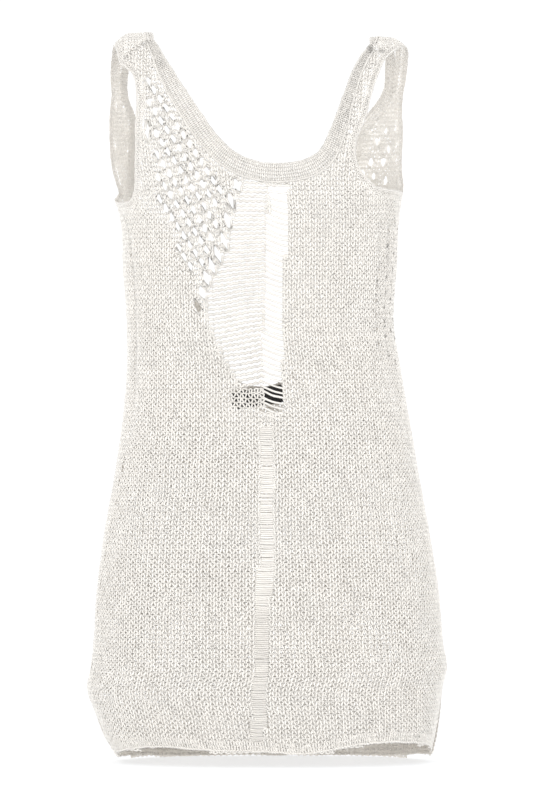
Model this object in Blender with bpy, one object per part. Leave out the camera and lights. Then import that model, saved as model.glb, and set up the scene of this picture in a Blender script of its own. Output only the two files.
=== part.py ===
"""Open-knit sleeveless vest, hollow, in the form that it has when it is worn.

Metres, +Z up. The front faces -Y, and +X is on the right of someone who looks at the front. The
origin lies midway between the tops of the two shoulders, where the wearer carries the garment.

Each panel is drawn as a flat pattern piece. Its outline and the gaps in its knit are curves in
pattern coordinates: across, round the body, and run, the way down from the shoulder tops, which is
negative on the front and positive on the back. The piece is filled with triangles and wrapped on
the form of the body as a wall of even thickness. Bands are strips that follow the panels' edges.
"""

from collections import namedtuple
import math

import bmesh
import bpy
from mathutils import Vector
from mathutils.geometry import delaunay_2d_cdt
import numpy as np

MM = 0.001
WALL = 2.0 * MM  # knit fabric, yarn over yarn
BAND_WALL = 2.6 * MM  # the denser knit of the bands
SEAM_GAP = 0.3 * MM
ACROSS = 0.15  # metres of pattern for one radian round the body
SQUARENESS = 0.03  # how far a section of the body is from an ellipse
FRONT, BACK = -1, 1

# The body's sections, in mm: drop below the shoulder tops, depth of the front and of the back,
# half width, and the place of the middle. Above the underarms the straps use only a part of them.
Section = namedtuple("Section", "drop front back half middle")
SECTIONS = (
    Section(0, 0, 0, 176, -5),
    Section(3, 22, 22, 176, -5),
    Section(12, 42, 42, 176, -5),
    Section(30, 62, 60, 176, -5.5),
    Section(60, 78, 74, 174, -6),
    Section(100, 90, 82, 170, -6.5),
    Section(145, 98, 87, 155.5, -7.5),
    Section(190, 104, 90, 143.5, -3.5),
    Section(240, 107, 91, 140.7, -3.2),
    Section(300, 101, 86, 137.2, -2.8),
    Section(350, 97, 82, 141.0, 1.0),
    Section(400, 96, 84, 147.5, 3.2),
    Section(460, 100, 92, 157.3, 3.8),
    Section(520, 106, 102, 168.0, 4),
    Section(580, 112, 111, 176.3, 4.8),
    Section(630, 116, 117, 180, 5.4),
    Section(654, 118, 118, 183.1, 5.9),
    Section(672, 117, 118, 182.8, 1.9),
    Section(704, 113, 114, 175.6, 5),
    Section(723, 108, 109, 170.4, 7),
    Section(745, 101, 102, 160.7, 11.5),
    Section(765, 96, 97, 152, 15),
)
STRAP_SHARE = 0.7  # how much of a section's depth the straps reach

# The tops of the straps round off towards the arms: from this x outwards they sink by rate * reach².
Shoulder = namedtuple("Shoulder", "side top start reach sink")
SHOULDERS = (Shoulder(-1, 0.0, 135, 24, 22), Shoulder(1, 4.5, 128, 21, 12))
SHOULDER_RUN = 50  # mm of run over which that fades

# Lengthwise gathers: middle and half span in x, first and last drop, waves, and height, in mm.
Gathers = namedtuple("Gathers", "face x span top bottom waves height")
GATHERS = (
    Gathers(FRONT, -127, 16, 18, 95, 2, 1.3),
    Gathers(FRONT, 105, 14, 14, 120, 2, 1.1),
    Gathers(BACK, 137, 15, 10, 95, 1.5, 1.1),
    Gathers(BACK, -149, 10, 12, 90, 1.0, 1.1),
)
HEM_WAVES = 9
HEM_WAVE_HEIGHT = 1.6
HEM_WAVE_DROP = 640  # mm, where the hem's waves begin
CREASE_DEPTH = 2.2  # the left side seam is drawn in, in mm
CREASE_WIDTH = 7
CREASE_DROPS = (185, 430)

# The left side seam lies forward of the side: drop in mm, and degrees round from the middle front.
LEFT_SEAM = ((170, -79), (205, -70), (245, -66), (320, -67), (380, -67), (480, -71),
             (560, -76), (640, -82), (700, -86), (765, -86))
RIGHT_SEAM = ((150, 89), (765, 89))
UNDERARMS = {-1: 177, 1: 166}  # mm of drop on the left and right

# Edges of the garment as (x, drop) in mm. A shoulder seam runs from its outer to its inner end, as
# (x, run), a little in front of the shoulder's top.
NECKLINE = ((-90.5, 45.2), (-74.2, 70.8), (-59.2, 93.2), (-46.7, 110.5), (-32.5, 124.7), (-13.2, 134.9),
            (7.2, 139), (27.5, 138.3), (43.8, 134.4), (58, 125.6), (69.2, 103.9), (83.1, 66.5), (96.5, 33))
BACK_NECKLINE = ((-139.7, 30), (-142.1, 60), (-137.6, 74), (-133.1, 88), (-134, 118), (-134.2, 155),
                 (-131.5, 171), (-125, 180), (-115, 188), (-104, 199), (-92.8, 215), (-76, 249),
                 (-63.5, 288), (-52.5, 315), (-41, 341), (-31, 356), (-17.8, 363.5), (-1, 365.5),
                 (13.5, 362.5), (24.5, 355), (36, 341), (52.1, 310), (68.7, 265.5), (80.2, 216.5),
                 (85.5, 170), (87.5, 128), (92.5, 102), (104.9, 86), (119.1, 69), (127.3, 55), (127.9, 37))
ARMHOLE_FRONT = {
    -1: ((-132, 45), (-127.6, 70), (-128.8, 92), (-129.4, 123), (-129.9, 156), (-132, 170), (-137, 176)),
    1: ((115.5, 48), (108.1, 74), (101.5, 95), (95.5, 109), (92.8, 124), (96, 141), (106, 154), (121, 163)),
}
ARMHOLE_BACK = {
    -1: ((-148.5, 166), (-153, 150), (-156.6, 134), (-158.2, 108), (-158, 77), (-156.4, 56), (-157.6, 40)),
    1: ((143.4, 145), (143.6, 118), (143.7, 88), (144.2, 66), (147, 49), (148.6, 30)),
}
SHOULDER_SEAM = {-1: ((-146, -58), (-113, -27)), 1: ((124, -52), (110.5, -30))}
OUTER_TOP = {-1: ((-154.5, 12), (-151.5, -22)), 1: ((148.7, 8), (142, -24))}  # (x, run) over the top
INNER_TOP = {-1: ((-126, 26), (-115.5, 0)), 1: ((126, 22), (112.5, 0))}
FRONT_HEM = ((-86, 743), (-60, 734), (-35, 731), (-8, 734), (12, 736), (26, 729), (45, 726), (65, 729), (89, 739))
BACK_HEM = ((-98, 743.5), (-60, 747), (0, 749), (60, 746), (91, 740.5))

# Widths of the bands in mm, from one end of the edge to the other.
NECKBAND_WIDTHS = (7, 13, 17, 18, 18, 18, 18, 17, 14, 10, 8, 7)
BACK_NECKBAND_WIDTHS = (5, 5, 5, 8, 12, 12, 12, 12, 12, 12, 12, 8, 6)
ARMBAND_FRONT_WIDTHS = {-1: (5, 6, 6, 6, 7), 1: (5, 6, 6, 6, 7)}
ARMBAND_BACK_WIDTHS = {-1: (7, 6, 5, 5, 5), 1: (7, 6, 6, 6, 5)}

# Gaps in the knit over 4 mm. A gap is a hexagon: middle x and drop, width, height and lean in mm
# and degrees, where a leaning gap's top is moved to the left.
Gap = namedtuple("Gap", "x drop width height lean")
NET_START = (-100.1, 160.7)
NET_ROW = (11.0, -3.66)
NET_COLUMN = (6.1, 9.3)
NET_EYELET = (5.2, 8.2, 12)
NET_AREA = ((-121, 50), (-107, 57), (-90, 84), (-66, 112), (-42, 130), (-38, 160), (-43, 190), (-49, 214),
            (-60, 236), (-70, 256), (-80, 240), (-95, 203), (-107, 180), (-110, 150), (-111, 120), (-115, 90))
NET_BORDER = (
    Gap(-26.5, 160, 7, 12, 20), Gap(-32.6, 176, 7, 15, 16), Gap(-36, 196, 6.5, 16, 14),
    Gap(-39.5, 216.7, 6, 18, 20), Gap(-46, 230, 6, 18, 20), Gap(-52, 241.5, 6, 16, 20),
    Gap(-57.5, 254, 6, 15, 20), Gap(-61.5, 269, 7, 12, 20), Gap(-66.5, 283, 6, 13, 15),
)
LADDER_TOP = Gap(20.5, 163, 12, 4.6, 10)
LADDER_RUNGS = 23
LADDER_DROPS = (176, 372)
LADDER_LEFT = (6.2, 0.2)  # x at the top and at the bottom
LADDER_RIGHT = (24.2, 19)
LADDER_SAG = 9
LADDER_OPEN = 5.2
LOW_LADDER = (444, 538, 9)  # first and last drop, and how many gaps
LOW_LADDER_GAP = (5.5, 10, 4.4)  # x, width and height
STRAP_SLIT = Gap(-117.5, 104, 4.2, 20, 4)
SIDE_NET_ANGLES = (56, 64.5, 73, 81)
SIDE_NET_DROPS = (196, 338, 10)
SIDE_NET_GAP = (5.0, 9.5)
BACK_NET = (
    Gap(118.5, 110, 5, 8, 0), Gap(128, 98, 4.4, 6, 0), Gap(130.5, 117, 4.4, 8, 0), Gap(112.5, 130, 6, 7, 0),
    Gap(125, 131, 4.6, 8, 0), Gap(103, 142, 6, 6, 0), Gap(115, 145, 5, 6, 0), Gap(127.5, 150, 4.4, 8, 0),
)
LEAST_STRAND = 2.2  # mm of knit left between two gaps

LABEL_MIDDLE = (-6, 375)
LABEL_SIZE = (54, 18)
LABEL_TILT = 9  # degrees, its right end up
LABEL_WALL = 0.8
LABEL_GAP = 0.6

FRONT_SPACING = 19 * MM
BACK_SPACING = 22 * MM
HEM_ROLL = ((2.2, 1.3), (5.5, 0.9))  # mm above the hem, and how far the roll stands out there

ECRU = (0.83, 0.80, 0.745, 1)
BLACK = (0.012, 0.012, 0.013, 1)


def fitted(xs, ys, x):
    """A smooth curve through the points (xs, ys), read at x."""
    xs = np.asarray(xs, float)
    ys = np.asarray(ys, float)
    slope = np.gradient(ys, xs)
    i = np.clip(np.searchsorted(xs, x) - 1, 0, len(xs) - 2)
    step = xs[i + 1] - xs[i]
    t = (x - xs[i]) / step
    rise = ys[i] * (2 * t**3 - 3 * t**2 + 1) + ys[i + 1] * (3 * t**2 - 2 * t**3)
    return rise + step * (slope[i] * (t**3 - 2 * t**2 + t) + slope[i + 1] * (t**3 - t**2))


def table_columns():
    """The sections' columns in metres, mirrored so that they pass smoothly over the shoulder's top."""
    rows = np.array(SECTIONS, float) * MM
    steps = np.hypot(np.diff(rows[:, 0]), STRAP_SHARE * np.diff(rows[:, 1]))
    run = np.concatenate([[0], np.cumsum(steps)])
    both = {"run": np.concatenate([-run[:0:-1], run])}
    for name, column in zip(Section._fields, rows.T):
        both[name] = np.concatenate([column[:0:-1], column])
    both["depth"] = np.concatenate([-rows[:0:-1, 1], rows[:, 2]])
    return both


COLUMNS = table_columns()
FINE_RUN = np.linspace(0, COLUMNS["run"][-1], 4000)
FINE_DROP = fitted(COLUMNS["run"], COLUMNS["drop"], FINE_RUN)


def column(name, run):
    return fitted(COLUMNS["run"], COLUMNS[name], run)


def round_the_body(angle):
    """Sideways and forward share of a section at an angle from its middle."""
    side = (np.sin(angle) + SQUARENESS * np.sin(3 * angle)) / (1 - SQUARENESS)
    out = (np.cos(angle) - SQUARENESS * np.cos(3 * angle)) / (1 - SQUARENESS)
    return side, out


def fade(value, start, end):
    """0 before start, 1 after end, smooth between them."""
    t = np.clip((value - start) / (end - start), 0, 1)
    return t * t * (3 - 2 * t)


def window(value, start, end, soft):
    return fade(value, start, start + soft) * (1 - fade(value, end - soft, end))


def smooth_form(across, run):
    """Points of the body's form without folds."""
    side, out = round_the_body(across / ACROSS)
    depth = np.where(out >= 0, column("depth", run), -column("depth", -run))
    x = column("middle", run) + column("half", run) * side
    z = -column("drop", run)
    near_top = np.exp(-((run / MM / SHOULDER_RUN) ** 2))
    for shoulder in SHOULDERS:
        beyond = np.maximum(0, shoulder.side * x / MM - shoulder.start) / shoulder.reach
        here = fade(shoulder.side * x / MM, 0, 60)
        z = z - MM * near_top * here * (shoulder.top + shoulder.sink * beyond**2)
    return np.stack([x, depth * out, z], axis=-1)


def fold_height(across, run):
    """How far the folds lift the cloth from the form."""
    x = smooth_form(across, run)[..., 0] / MM
    drop = column("drop", run) / MM
    face = np.where(run < 0, FRONT, BACK)
    height = np.zeros_like(drop)
    for row in GATHERS:
        away = (x - row.x) / row.span
        there = window(drop, row.top, row.bottom, (row.bottom - row.top) / 2.5) * fade(-np.abs(away), -1.2, -0.7)
        height += np.where(face == row.face, row.height * there * np.cos(math.pi * row.waves * away), 0)
    wave = np.sin(HEM_WAVES * across / ACROSS + 0.7 * np.sin(3 * across / ACROSS) + face)
    height += HEM_WAVE_HEIGHT * fade(drop, HEM_WAVE_DROP, 740) * wave
    seam = np.radians(seam_angle(-1, drop))
    off_seam = (across / ACROSS - np.where(run < 0, seam, -math.pi - seam)) * 0.115 / MM
    drawn = window(drop, *CREASE_DROPS, 60) * np.exp(-((off_seam / CREASE_WIDTH) ** 2))
    return MM * (height - CREASE_DEPTH * drawn)


def out_of(across, run, surface):
    step = 0.2 * MM
    d_across = surface(across + step, run) - surface(across - step, run)
    d_run = surface(across, run + step) - surface(across, run - step)
    normal = np.cross(d_across, d_run)
    return normal / np.linalg.norm(normal, axis=-1, keepdims=True)


def folded_form(across, run):
    normal = out_of(across, run, smooth_form)
    return smooth_form(across, run) + normal * fold_height(across, run)[..., None]


def on_cloth(pattern, lift=0.0):
    """Points of the cloth for rows of (across, run), lifted along the outward normal."""
    across, run = np.asarray(pattern, float).T
    return folded_form(across, run) + out_of(across, run, folded_form) * np.reshape(lift, (-1, 1))


def seam_angle(side, drop):
    table = np.array(LEFT_SEAM if side < 0 else RIGHT_SEAM, float)
    return fitted(table[:, 0], table[:, 1], drop)


def across_at(x, run, face):
    """The across of an x in metres, on the half of a section that faces the same way as the face."""
    angle = np.linspace(-math.pi / 2, math.pi / 2, 2000)
    side, _ = round_the_body(angle)
    share = (x - column("middle", run)) / column("half", run)
    return ACROSS * np.interp(share, side, angle)


def from_drop(points, face):
    """(x, drop) in mm as pattern points."""
    x, drop = np.asarray(points, float).T * MM
    run = face * np.interp(drop, FINE_DROP, FINE_RUN)
    return np.stack([across_at(x, run, face), run], axis=-1)


def from_run(points):
    """(x, run) in mm as pattern points."""
    x, run = np.asarray(points, float).T * MM
    return np.stack([across_at(x, run, FRONT), run], axis=-1)


def on_seam(side, drop, face):
    """A pattern point of the side seam."""
    angle = math.radians(float(seam_angle(side, drop)))
    run = float(np.interp(drop * MM, FINE_DROP, FINE_RUN))
    if face == BACK:
        angle = math.copysign(math.pi, angle) - angle
    return np.array([ACROSS * angle, face * run])


def drawn(points, count):
    """A smooth curve through points, as count + 1 points at even distances."""
    points = np.asarray(points, float)
    ends = [2 * points[0] - points[1], *points, 2 * points[-1] - points[-2]]
    curve = []
    for a, b, c, d in zip(ends, ends[1:], ends[2:], ends[3:]):
        for t in np.linspace(0, 1, 24, endpoint=False):
            curve.append(0.5 * (2 * b + (c - a) * t + (2 * a - 5 * b + 4 * c - d) * t**2
                                + (3 * b - a - 3 * c + d) * t**3))
    curve = np.array(curve + [points[-1]])
    length = np.concatenate([[0], np.cumsum(np.linalg.norm(np.diff(curve, axis=0), axis=1))])
    even = np.linspace(0, length[-1], count + 1)
    return np.stack([np.interp(even, length, axis) for axis in curve.T], axis=-1)


def inset(curve, widths, side, extra=0.0):
    """A curve beside another one on the cloth, widths in mm away on its left (1) or right (-1)."""
    count = len(curve)
    width = np.interp(np.linspace(0, 1, count), np.linspace(0, 1, len(widths)), widths) * MM + extra
    step = 0.2 * MM
    tangent = np.gradient(curve, axis=0)
    result = []
    for point, along, far in zip(curve, tangent, width):
        here = on_cloth([point, point + (step, 0), point + (0, step)])
        frame = (here[1:] - here[0]).T / step
        normal = np.cross(frame[:, 0], frame[:, 1])
        beside = np.cross(normal / np.linalg.norm(normal), frame @ along)
        beside *= side * far / np.linalg.norm(beside)
        result.append(point + np.linalg.lstsq(frame, beside, rcond=None)[0])
    return np.array(result)


def edge_curves():
    """Every edge of the garment in pattern points, each from its left or shoulder end."""
    seams = {side: from_run(SHOULDER_SEAM[side]) for side in (-1, 1)}
    curves = {}
    neck = [seams[-1][1], *from_drop(NECKLINE, FRONT), seams[1][1]]
    curves["neck_front"] = drawn(neck, 46)
    inner = {side: from_run(INNER_TOP[side]) for side in (-1, 1)}
    neck = [seams[-1][1], *inner[-1][::-1], *from_drop(BACK_NECKLINE, BACK), *inner[1], seams[1][1]]
    curves["neck_back"] = drawn(neck, 84)
    for side in (-1, 1):
        front = [seams[side][0], *from_drop(ARMHOLE_FRONT[side], FRONT), on_seam(side, UNDERARMS[side], FRONT)]
        curves["arm_front", side] = drawn(front, 20)
        over = from_run(OUTER_TOP[side])
        back = [on_seam(side, UNDERARMS[side], BACK), *from_drop(ARMHOLE_BACK[side], BACK), *over, seams[side][0]]
        curves["arm_back", side] = drawn(back, 24)
        curves["seam", side] = seams[side]
    return curves


def along(line, distance):
    """The point this far from the first end of a straight line of the pattern."""
    return line[0] + (line[1] - line[0]) * distance / np.linalg.norm(line[1] - line[0])


def band_edges(curves, extra):
    """The bands' inner edges. With extra, the edges of the panels that meet them across a gap."""
    inner = {}
    inner["neck_front"] = inset(curves["neck_front"], NECKBAND_WIDTHS, -1, extra)
    inner["neck_back"] = inset(curves["neck_back"], BACK_NECKBAND_WIDTHS, 1, extra)
    for side in (-1, 1):
        inner["arm_front", side] = inset(curves["arm_front", side], ARMBAND_FRONT_WIDTHS[side], -side, extra)
        inner["arm_back", side] = inset(curves["arm_back", side], ARMBAND_BACK_WIDTHS[side], -side, extra)
        under = UNDERARMS[side] + ARMBAND_FRONT_WIDTHS[side][-1] + extra / MM
        inner["arm_front", side][-1] = on_seam(side, under, FRONT)
        inner["arm_back", side][0] = on_seam(side, under, BACK)
        seam = curves["seam", side]
        outer_end = along(seam, ARMBAND_FRONT_WIDTHS[side][0] * MM + extra)
        neck_width = NECKBAND_WIDTHS[0] * MM + extra
        back_neck_width = BACK_NECKBAND_WIDTHS[0] * MM + extra
        inner["arm_front", side][0] = outer_end
        inner["arm_back", side][-1] = outer_end
        end = 0 if side < 0 else -1
        inner["neck_front"][end] = along(seam[::-1], neck_width)
        inner["neck_back"][end] = along(seam[::-1], back_neck_width)
    return inner


def straight(start, end, count):
    """Points between two ends, without the ends."""
    return [start + (end - start) * t for t in np.linspace(0, 1, count + 1)[1:-1]]


def side_seam(side, face, top, bottom, count):
    """The panel's edge at the side seam, half a gap from it, from its top to the hem."""
    rows = [on_seam(side, drop, face) for drop in np.linspace(top, bottom, count + 1)]
    inwards = -side * 0.5 * SEAM_GAP * ACROSS / 0.11
    return [row + (inwards, 0) for row in rows]


def hem(table, face, count):
    """The hem from the left to the right side seam, without its ends."""
    table = np.array(table, float)
    angles = np.linspace(table[0, 0], table[-1, 0], count + 1)
    drops = fitted(table[:, 0], table[:, 1], angles)
    runs = face * np.interp(drops * MM, FINE_DROP, FINE_RUN)
    return list(np.stack([ACROSS * np.radians(angles), runs], axis=-1))[1:-1]


def panel_outline(curves, face):
    """A panel's closed outline in pattern points, and the drops of its hem's ends."""
    inner = band_edges(curves, SEAM_GAP)
    name = "front" if face == FRONT else "back"
    table = FRONT_HEM if face == FRONT else BACK_HEM
    shift = np.array([0, 0.6 * face * SEAM_GAP])
    arm = {side: inner["arm_" + name, side] for side in (-1, 1)}
    if face == BACK:
        arm = {side: curve[::-1] for side, curve in arm.items()}
    neck = inner["neck_" + name]
    outline = []
    tops = {side: UNDERARMS[side] + ARMBAND_FRONT_WIDTHS[side][-1] + SEAM_GAP / MM for side in (-1, 1)}
    left = side_seam(-1, face, tops[-1], table[0][1], 24)
    right = side_seam(1, face, tops[1], table[-1][1], 24)
    outline += left[::-1]
    outline += list(arm[-1][1:-1][::-1])
    outline += [arm[-1][0] + shift, *(p + shift for p in straight(arm[-1][0], neck[0], 3)), neck[0] + shift]
    outline += list(neck[1:-1])
    outline += [neck[-1] + shift, *(p + shift for p in straight(neck[-1], arm[1][0], 2)), arm[1][0] + shift]
    outline += list(arm[1][1:-1])
    outline += right
    outline += hem(table, face, 40)[::-1]
    return np.array(outline)


def hexagon(gap):
    """A gap's corners as (x, drop) in mm."""
    lean = math.radians(gap.lean)
    corners = []
    for across, down in ((0, -1), (1, -0.45), (1, 0.45), (0, 1), (-1, 0.45), (-1, -0.45)):
        u, v = across * gap.width / 2, down * gap.height / 2
        corners.append((gap.x + u * math.cos(lean) + v * math.sin(lean),
                        gap.drop - u * math.sin(lean) + v * math.cos(lean)))
    return np.array(corners)


def inside(points, loops):
    """Which points lie inside an odd number of loops."""
    points = np.asarray(points, float)
    odd = np.zeros(len(points), bool)
    for loop in loops:
        ends = np.roll(loop, -1, axis=0)
        for (x0, y0), (x1, y1) in zip(loop, ends):
            crosses = (y0 > points[:, 1]) != (y1 > points[:, 1])
            if crosses.any():
                at = x0 + (points[:, 1] - y0) / (y1 - y0 + 1e-30) * (x1 - x0)
                odd ^= crosses & (points[:, 0] < at)
    return odd


def net_gaps():
    """The eyelets of the open net, in a slanted lattice, where they are clear of its border."""
    border = np.concatenate([hexagon(gap) for gap in NET_BORDER])
    found = []
    for row in range(-14, 14):
        for place in range(-14, 14):
            x = NET_START[0] + place * NET_ROW[0] + row * NET_COLUMN[0]
            drop = NET_START[1] + place * NET_ROW[1] + row * NET_COLUMN[1]
            gap = Gap(x, drop, *NET_EYELET)
            corners = hexagon(gap)
            near = np.linalg.norm(corners[:, None] - border[None], axis=-1).min()
            if inside([(x, drop)], [NET_AREA])[0] and near > LEAST_STRAND:
                found.append(corners)
    return found


def ladder_gaps():
    """The gaps between the floats that dropped stitches leave, hanging between two wales."""
    found = [hexagon(LADDER_TOP)]
    for t in np.linspace(0, 1, LADDER_RUNGS):
        drop = LADDER_DROPS[0] + t * (LADDER_DROPS[1] - LADDER_DROPS[0])
        left = LADDER_LEFT[0] + t * (LADDER_LEFT[1] - LADDER_LEFT[0])
        right = LADDER_RIGHT[0] + t * (LADDER_RIGHT[1] - LADDER_RIGHT[0])
        middle = 0.5 * (left + right)
        sag = drop + LADDER_SAG
        found.append(np.array([(left, drop), (middle, drop + 0.62 * LADDER_SAG), (right, sag),
                               (right, sag + LADDER_OPEN), (middle, drop + 0.62 * LADDER_SAG + LADDER_OPEN),
                               (left, drop + LADDER_OPEN)]))
    x, width, height = LOW_LADDER_GAP
    for drop in np.linspace(*LOW_LADDER):
        found.append(hexagon(Gap(x, drop, width, height, 0)))
    return found


def side_net_gaps():
    """Gaps of the stretched knit at the right side of the front, in pattern points."""
    found = []
    first, last, count = SIDE_NET_DROPS
    for n, angle in enumerate(SIDE_NET_ANGLES):
        for drop in np.linspace(first, last, count)[: count - n % 2]:
            middle = drop + (n % 2) * 0.5 * (last - first) / (count - 1)
            run = -np.interp(middle * MM, FINE_DROP, FINE_RUN)
            corners = hexagon(Gap(0, 0, SIDE_NET_GAP[0] * ACROSS / 0.11, SIDE_NET_GAP[1], 0)) * MM
            found.append(corners + (ACROSS * math.radians(angle), run))
    return found


def clear_gaps(gaps, outline):
    """The gaps that lie wholly in a panel and leave a strand of knit at its edge."""
    ends = np.roll(outline, -1, axis=0)
    rim = np.concatenate([outline + (ends - outline) * t for t in np.linspace(0, 1, 8, endpoint=False)])
    least = LEAST_STRAND * MM
    return [gap for gap in gaps if inside(gap, [outline]).all()
            and np.linalg.norm(gap[:, None] - rim[None], axis=-1).min() > least]


def fill(outline, gaps, spacing, rows=()):
    """Points and triangles of a flat pattern piece with gaps."""
    loops = [outline, *gaps]
    points, edges = [], []
    for loop in loops:
        start = len(points)
        points += [tuple(p) for p in loop]
        edges += [(start + i, start + (i + 1) % len(loop)) for i in range(len(loop))]
    rim = np.array(points)
    middles = np.array([(rim[a] + rim[b]) / 2 for a, b in edges])
    taken = np.concatenate([rim, middles, *([rows] if len(rows) else [])])
    low, high = rim.min(axis=0), rim.max(axis=0)
    grid = []
    for n, run in enumerate(np.arange(low[1], high[1], spacing * math.sqrt(0.75))):
        grid += [(across, run) for across in np.arange(low[0] + 0.5 * spacing * (n % 2), high[0], spacing)]
    grid = np.array(grid)
    near = np.array([np.linalg.norm(taken - p, axis=1).min() for p in grid])
    grid = grid[(near > 0.5 * spacing) & inside(grid, loops)]
    flat = [Vector(p) for p in [*points, *rows, *grid]]
    made = delaunay_2d_cdt(flat, edges, [], 0, 1e-7)
    flat = np.array([tuple(p) for p in made[0]])
    faces = np.array([tuple(face) for face in made[2]])
    return flat, faces[inside(flat[faces].mean(axis=1), loops)]


def add_object(name, points, faces, colour, roughness):
    mesh = bpy.data.meshes.new(name)
    mesh.from_pydata([tuple(p) for p in points], [], [tuple(int(i) for i in face) for face in faces])
    shape = bmesh.new()
    shape.from_mesh(mesh)
    bmesh.ops.recalc_face_normals(shape, faces=shape.faces)
    if shape.calc_volume(signed=True) < 0:
        bmesh.ops.reverse_faces(shape, faces=shape.faces)
    shape.to_mesh(mesh)
    shape.free()
    mesh.shade_smooth()
    mesh.set_sharp_from_angle(angle=math.radians(40))
    material = bpy.data.materials.new(name)
    material.use_nodes = True
    shader = material.node_tree.nodes["Principled BSDF"]
    shader.inputs["Base Color"].default_value = colour
    shader.inputs["Roughness"].default_value = roughness
    mesh.materials.append(material)
    thing = bpy.data.objects.new(name, mesh)
    bpy.context.scene.collection.objects.link(thing)
    return thing


def add_panel(name, outline, gaps, spacing, face):
    """A panel: its pattern piece wrapped on the form, with its hem rolled outwards."""
    gaps = clear_gaps(gaps, outline)
    low = [p for p in outline if abs(p[1]) > 0.97 * np.abs(outline[:, 1]).max()]
    low = np.array(sorted(low, key=lambda p: p[0]))[1:-1:2]
    rows = [p - (0, face * height * MM) for height, _ in HEM_ROLL for p in low]
    flat, faces = fill(outline, gaps, spacing, rows)
    outer = np.full(len(flat), WALL / 2)
    for height, roll in HEM_ROLL:
        line = np.interp(flat[:, 0], low[:, 0], np.abs(low[:, 1])) - height * MM
        outer += MM * roll * (np.abs(np.abs(flat[:, 1]) - line) < 0.6 * MM)
    points = np.concatenate([on_cloth(flat, outer), on_cloth(flat, -WALL / 2)])
    count = len(flat)
    used = {}
    for a, b, c in faces:
        for edge in ((a, b), (b, c), (c, a)):
            used[edge] = True
    rim = [edge for edge in used if edge[::-1] not in used]
    skin = [*faces, *(faces[:, ::-1] + count), *((b, a, a + count, b + count) for a, b in rim)]
    return add_object(name, points, skin, ECRU, 0.9)


def add_strip(name, edge, inner):
    """A band between its free edge and its inner edge, with a slightly raised middle."""
    middle = [(a + b) / 2 for a, b in zip(edge, inner)]
    lines = (np.concatenate(edge), np.concatenate(middle), np.concatenate(inner))
    outer = [on_cloth(line, lift) for line, lift in zip(lines, (WALL / 2, BAND_WALL * 0.7, WALL / 2))]
    under = [on_cloth(line, -WALL / 2) for line in lines[::-1]]
    rings = np.stack([*outer, *under], axis=1)
    keep = np.concatenate([[True], np.linalg.norm(np.diff(rings[:, 0], axis=0), axis=1) > 0.5 * MM])
    rings = rings[keep]
    count, corners = rings.shape[:2]
    faces = []
    for ring in range(count - 1):
        for corner in range(corners):
            a, b = ring * corners + corner, ring * corners + (corner + 1) % corners
            faces.append((a, b, b + corners, a + corners))
    faces.append(tuple(range(corners))[::-1])
    faces.append(tuple(range((count - 1) * corners, count * corners)))
    return add_object(name, rings.reshape(-1, 3), faces, ECRU, 0.9)


def shortened(curve, start, end):
    """The curve with its ends drawn in along it, to leave half a gap at a seam."""
    curve = curve.copy()
    if start:
        curve[0] += start * (curve[1] - curve[0]) / np.linalg.norm(curve[1] - curve[0])
    if end:
        curve[-1] += end * (curve[-2] - curve[-1]) / np.linalg.norm(curve[-2] - curve[-1])
    return curve


def add_bands(curves):
    inner = band_edges(curves, 0.0)
    half = 0.9 * SEAM_GAP
    for name in ("neck_front", "neck_back"):
        add_strip(name.replace("neck", "neckband"), [shortened(curves[name], half, half)],
                  [shortened(inner[name], half, half)])
    for side, place in ((-1, "left"), (1, "right")):
        edge = [shortened(curves["arm_front", side], half, 0), shortened(curves["arm_back", side], 0, half)]
        inside_edge = [shortened(inner["arm_front", side], half, 0), shortened(inner["arm_back", side], 0, half)]
        add_strip(f"armband_{place}", edge, inside_edge)


def add_label():
    """A plain label on the inside of the back, just under the neckline."""
    tilt = math.radians(LABEL_TILT)
    columns, rows = 7, 3
    pattern = []
    for v in np.linspace(-0.5, 0.5, rows):
        for u in np.linspace(-0.5, 0.5, columns):
            x = LABEL_MIDDLE[0] + u * LABEL_SIZE[0] * math.cos(tilt) + v * LABEL_SIZE[1] * math.sin(tilt)
            drop = LABEL_MIDDLE[1] - u * LABEL_SIZE[0] * math.sin(tilt) + v * LABEL_SIZE[1] * math.cos(tilt)
            pattern.append((x, drop))
    pattern = from_drop(pattern, BACK)
    near = WALL / 2 + LABEL_GAP * MM
    points = np.concatenate([on_cloth(pattern, -near), on_cloth(pattern, -near - LABEL_WALL * MM)])
    count = columns * rows
    faces = []
    for r in range(rows - 1):
        for c in range(columns - 1):
            a = r * columns + c
            quad = (a, a + 1, a + columns + 1, a + columns)
            faces += [quad, tuple(i + count for i in quad[::-1])]
    rim = list(range(columns)) + [columns * r + columns - 1 for r in range(1, rows)]
    rim += list(range(count - 2, count - columns - 1, -1)) + [columns * r for r in range(rows - 2, 0, -1)]
    for a, b in zip(rim, rim[1:] + rim[:1]):
        faces.append((b, a, a + count, b + count))
    return add_object("label", points, faces, BLACK, 0.6)


def main():
    for thing in list(bpy.data.objects):
        bpy.data.objects.remove(thing, do_unlink=True)
    curves = edge_curves()
    front_gaps = [*net_gaps(), *(hexagon(gap) for gap in NET_BORDER), *ladder_gaps(), hexagon(STRAP_SLIT)]
    front_gaps = [from_drop(gap, FRONT) for gap in front_gaps] + side_net_gaps()
    back_gaps = [from_drop(hexagon(gap), BACK) for gap in BACK_NET]
    add_panel("front_panel", panel_outline(curves, FRONT), front_gaps, FRONT_SPACING, FRONT)
    add_panel("back_panel", panel_outline(curves, BACK), back_gaps, BACK_SPACING, BACK)
    add_bands(curves)
    add_label()


main()
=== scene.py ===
"""Looks of the open-knit vest: every panel and band as knitted yarn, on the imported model's form.

Metres, +Z up. The front faces -Y. The tables and functions of the form repeat those that the solids
are made from: cloth is drawn in pattern coordinates, across (round the body) and run (the way down
from the shoulder tops, negative on the front), and wrapped on the form.
"""

from collections import namedtuple
import math

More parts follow.
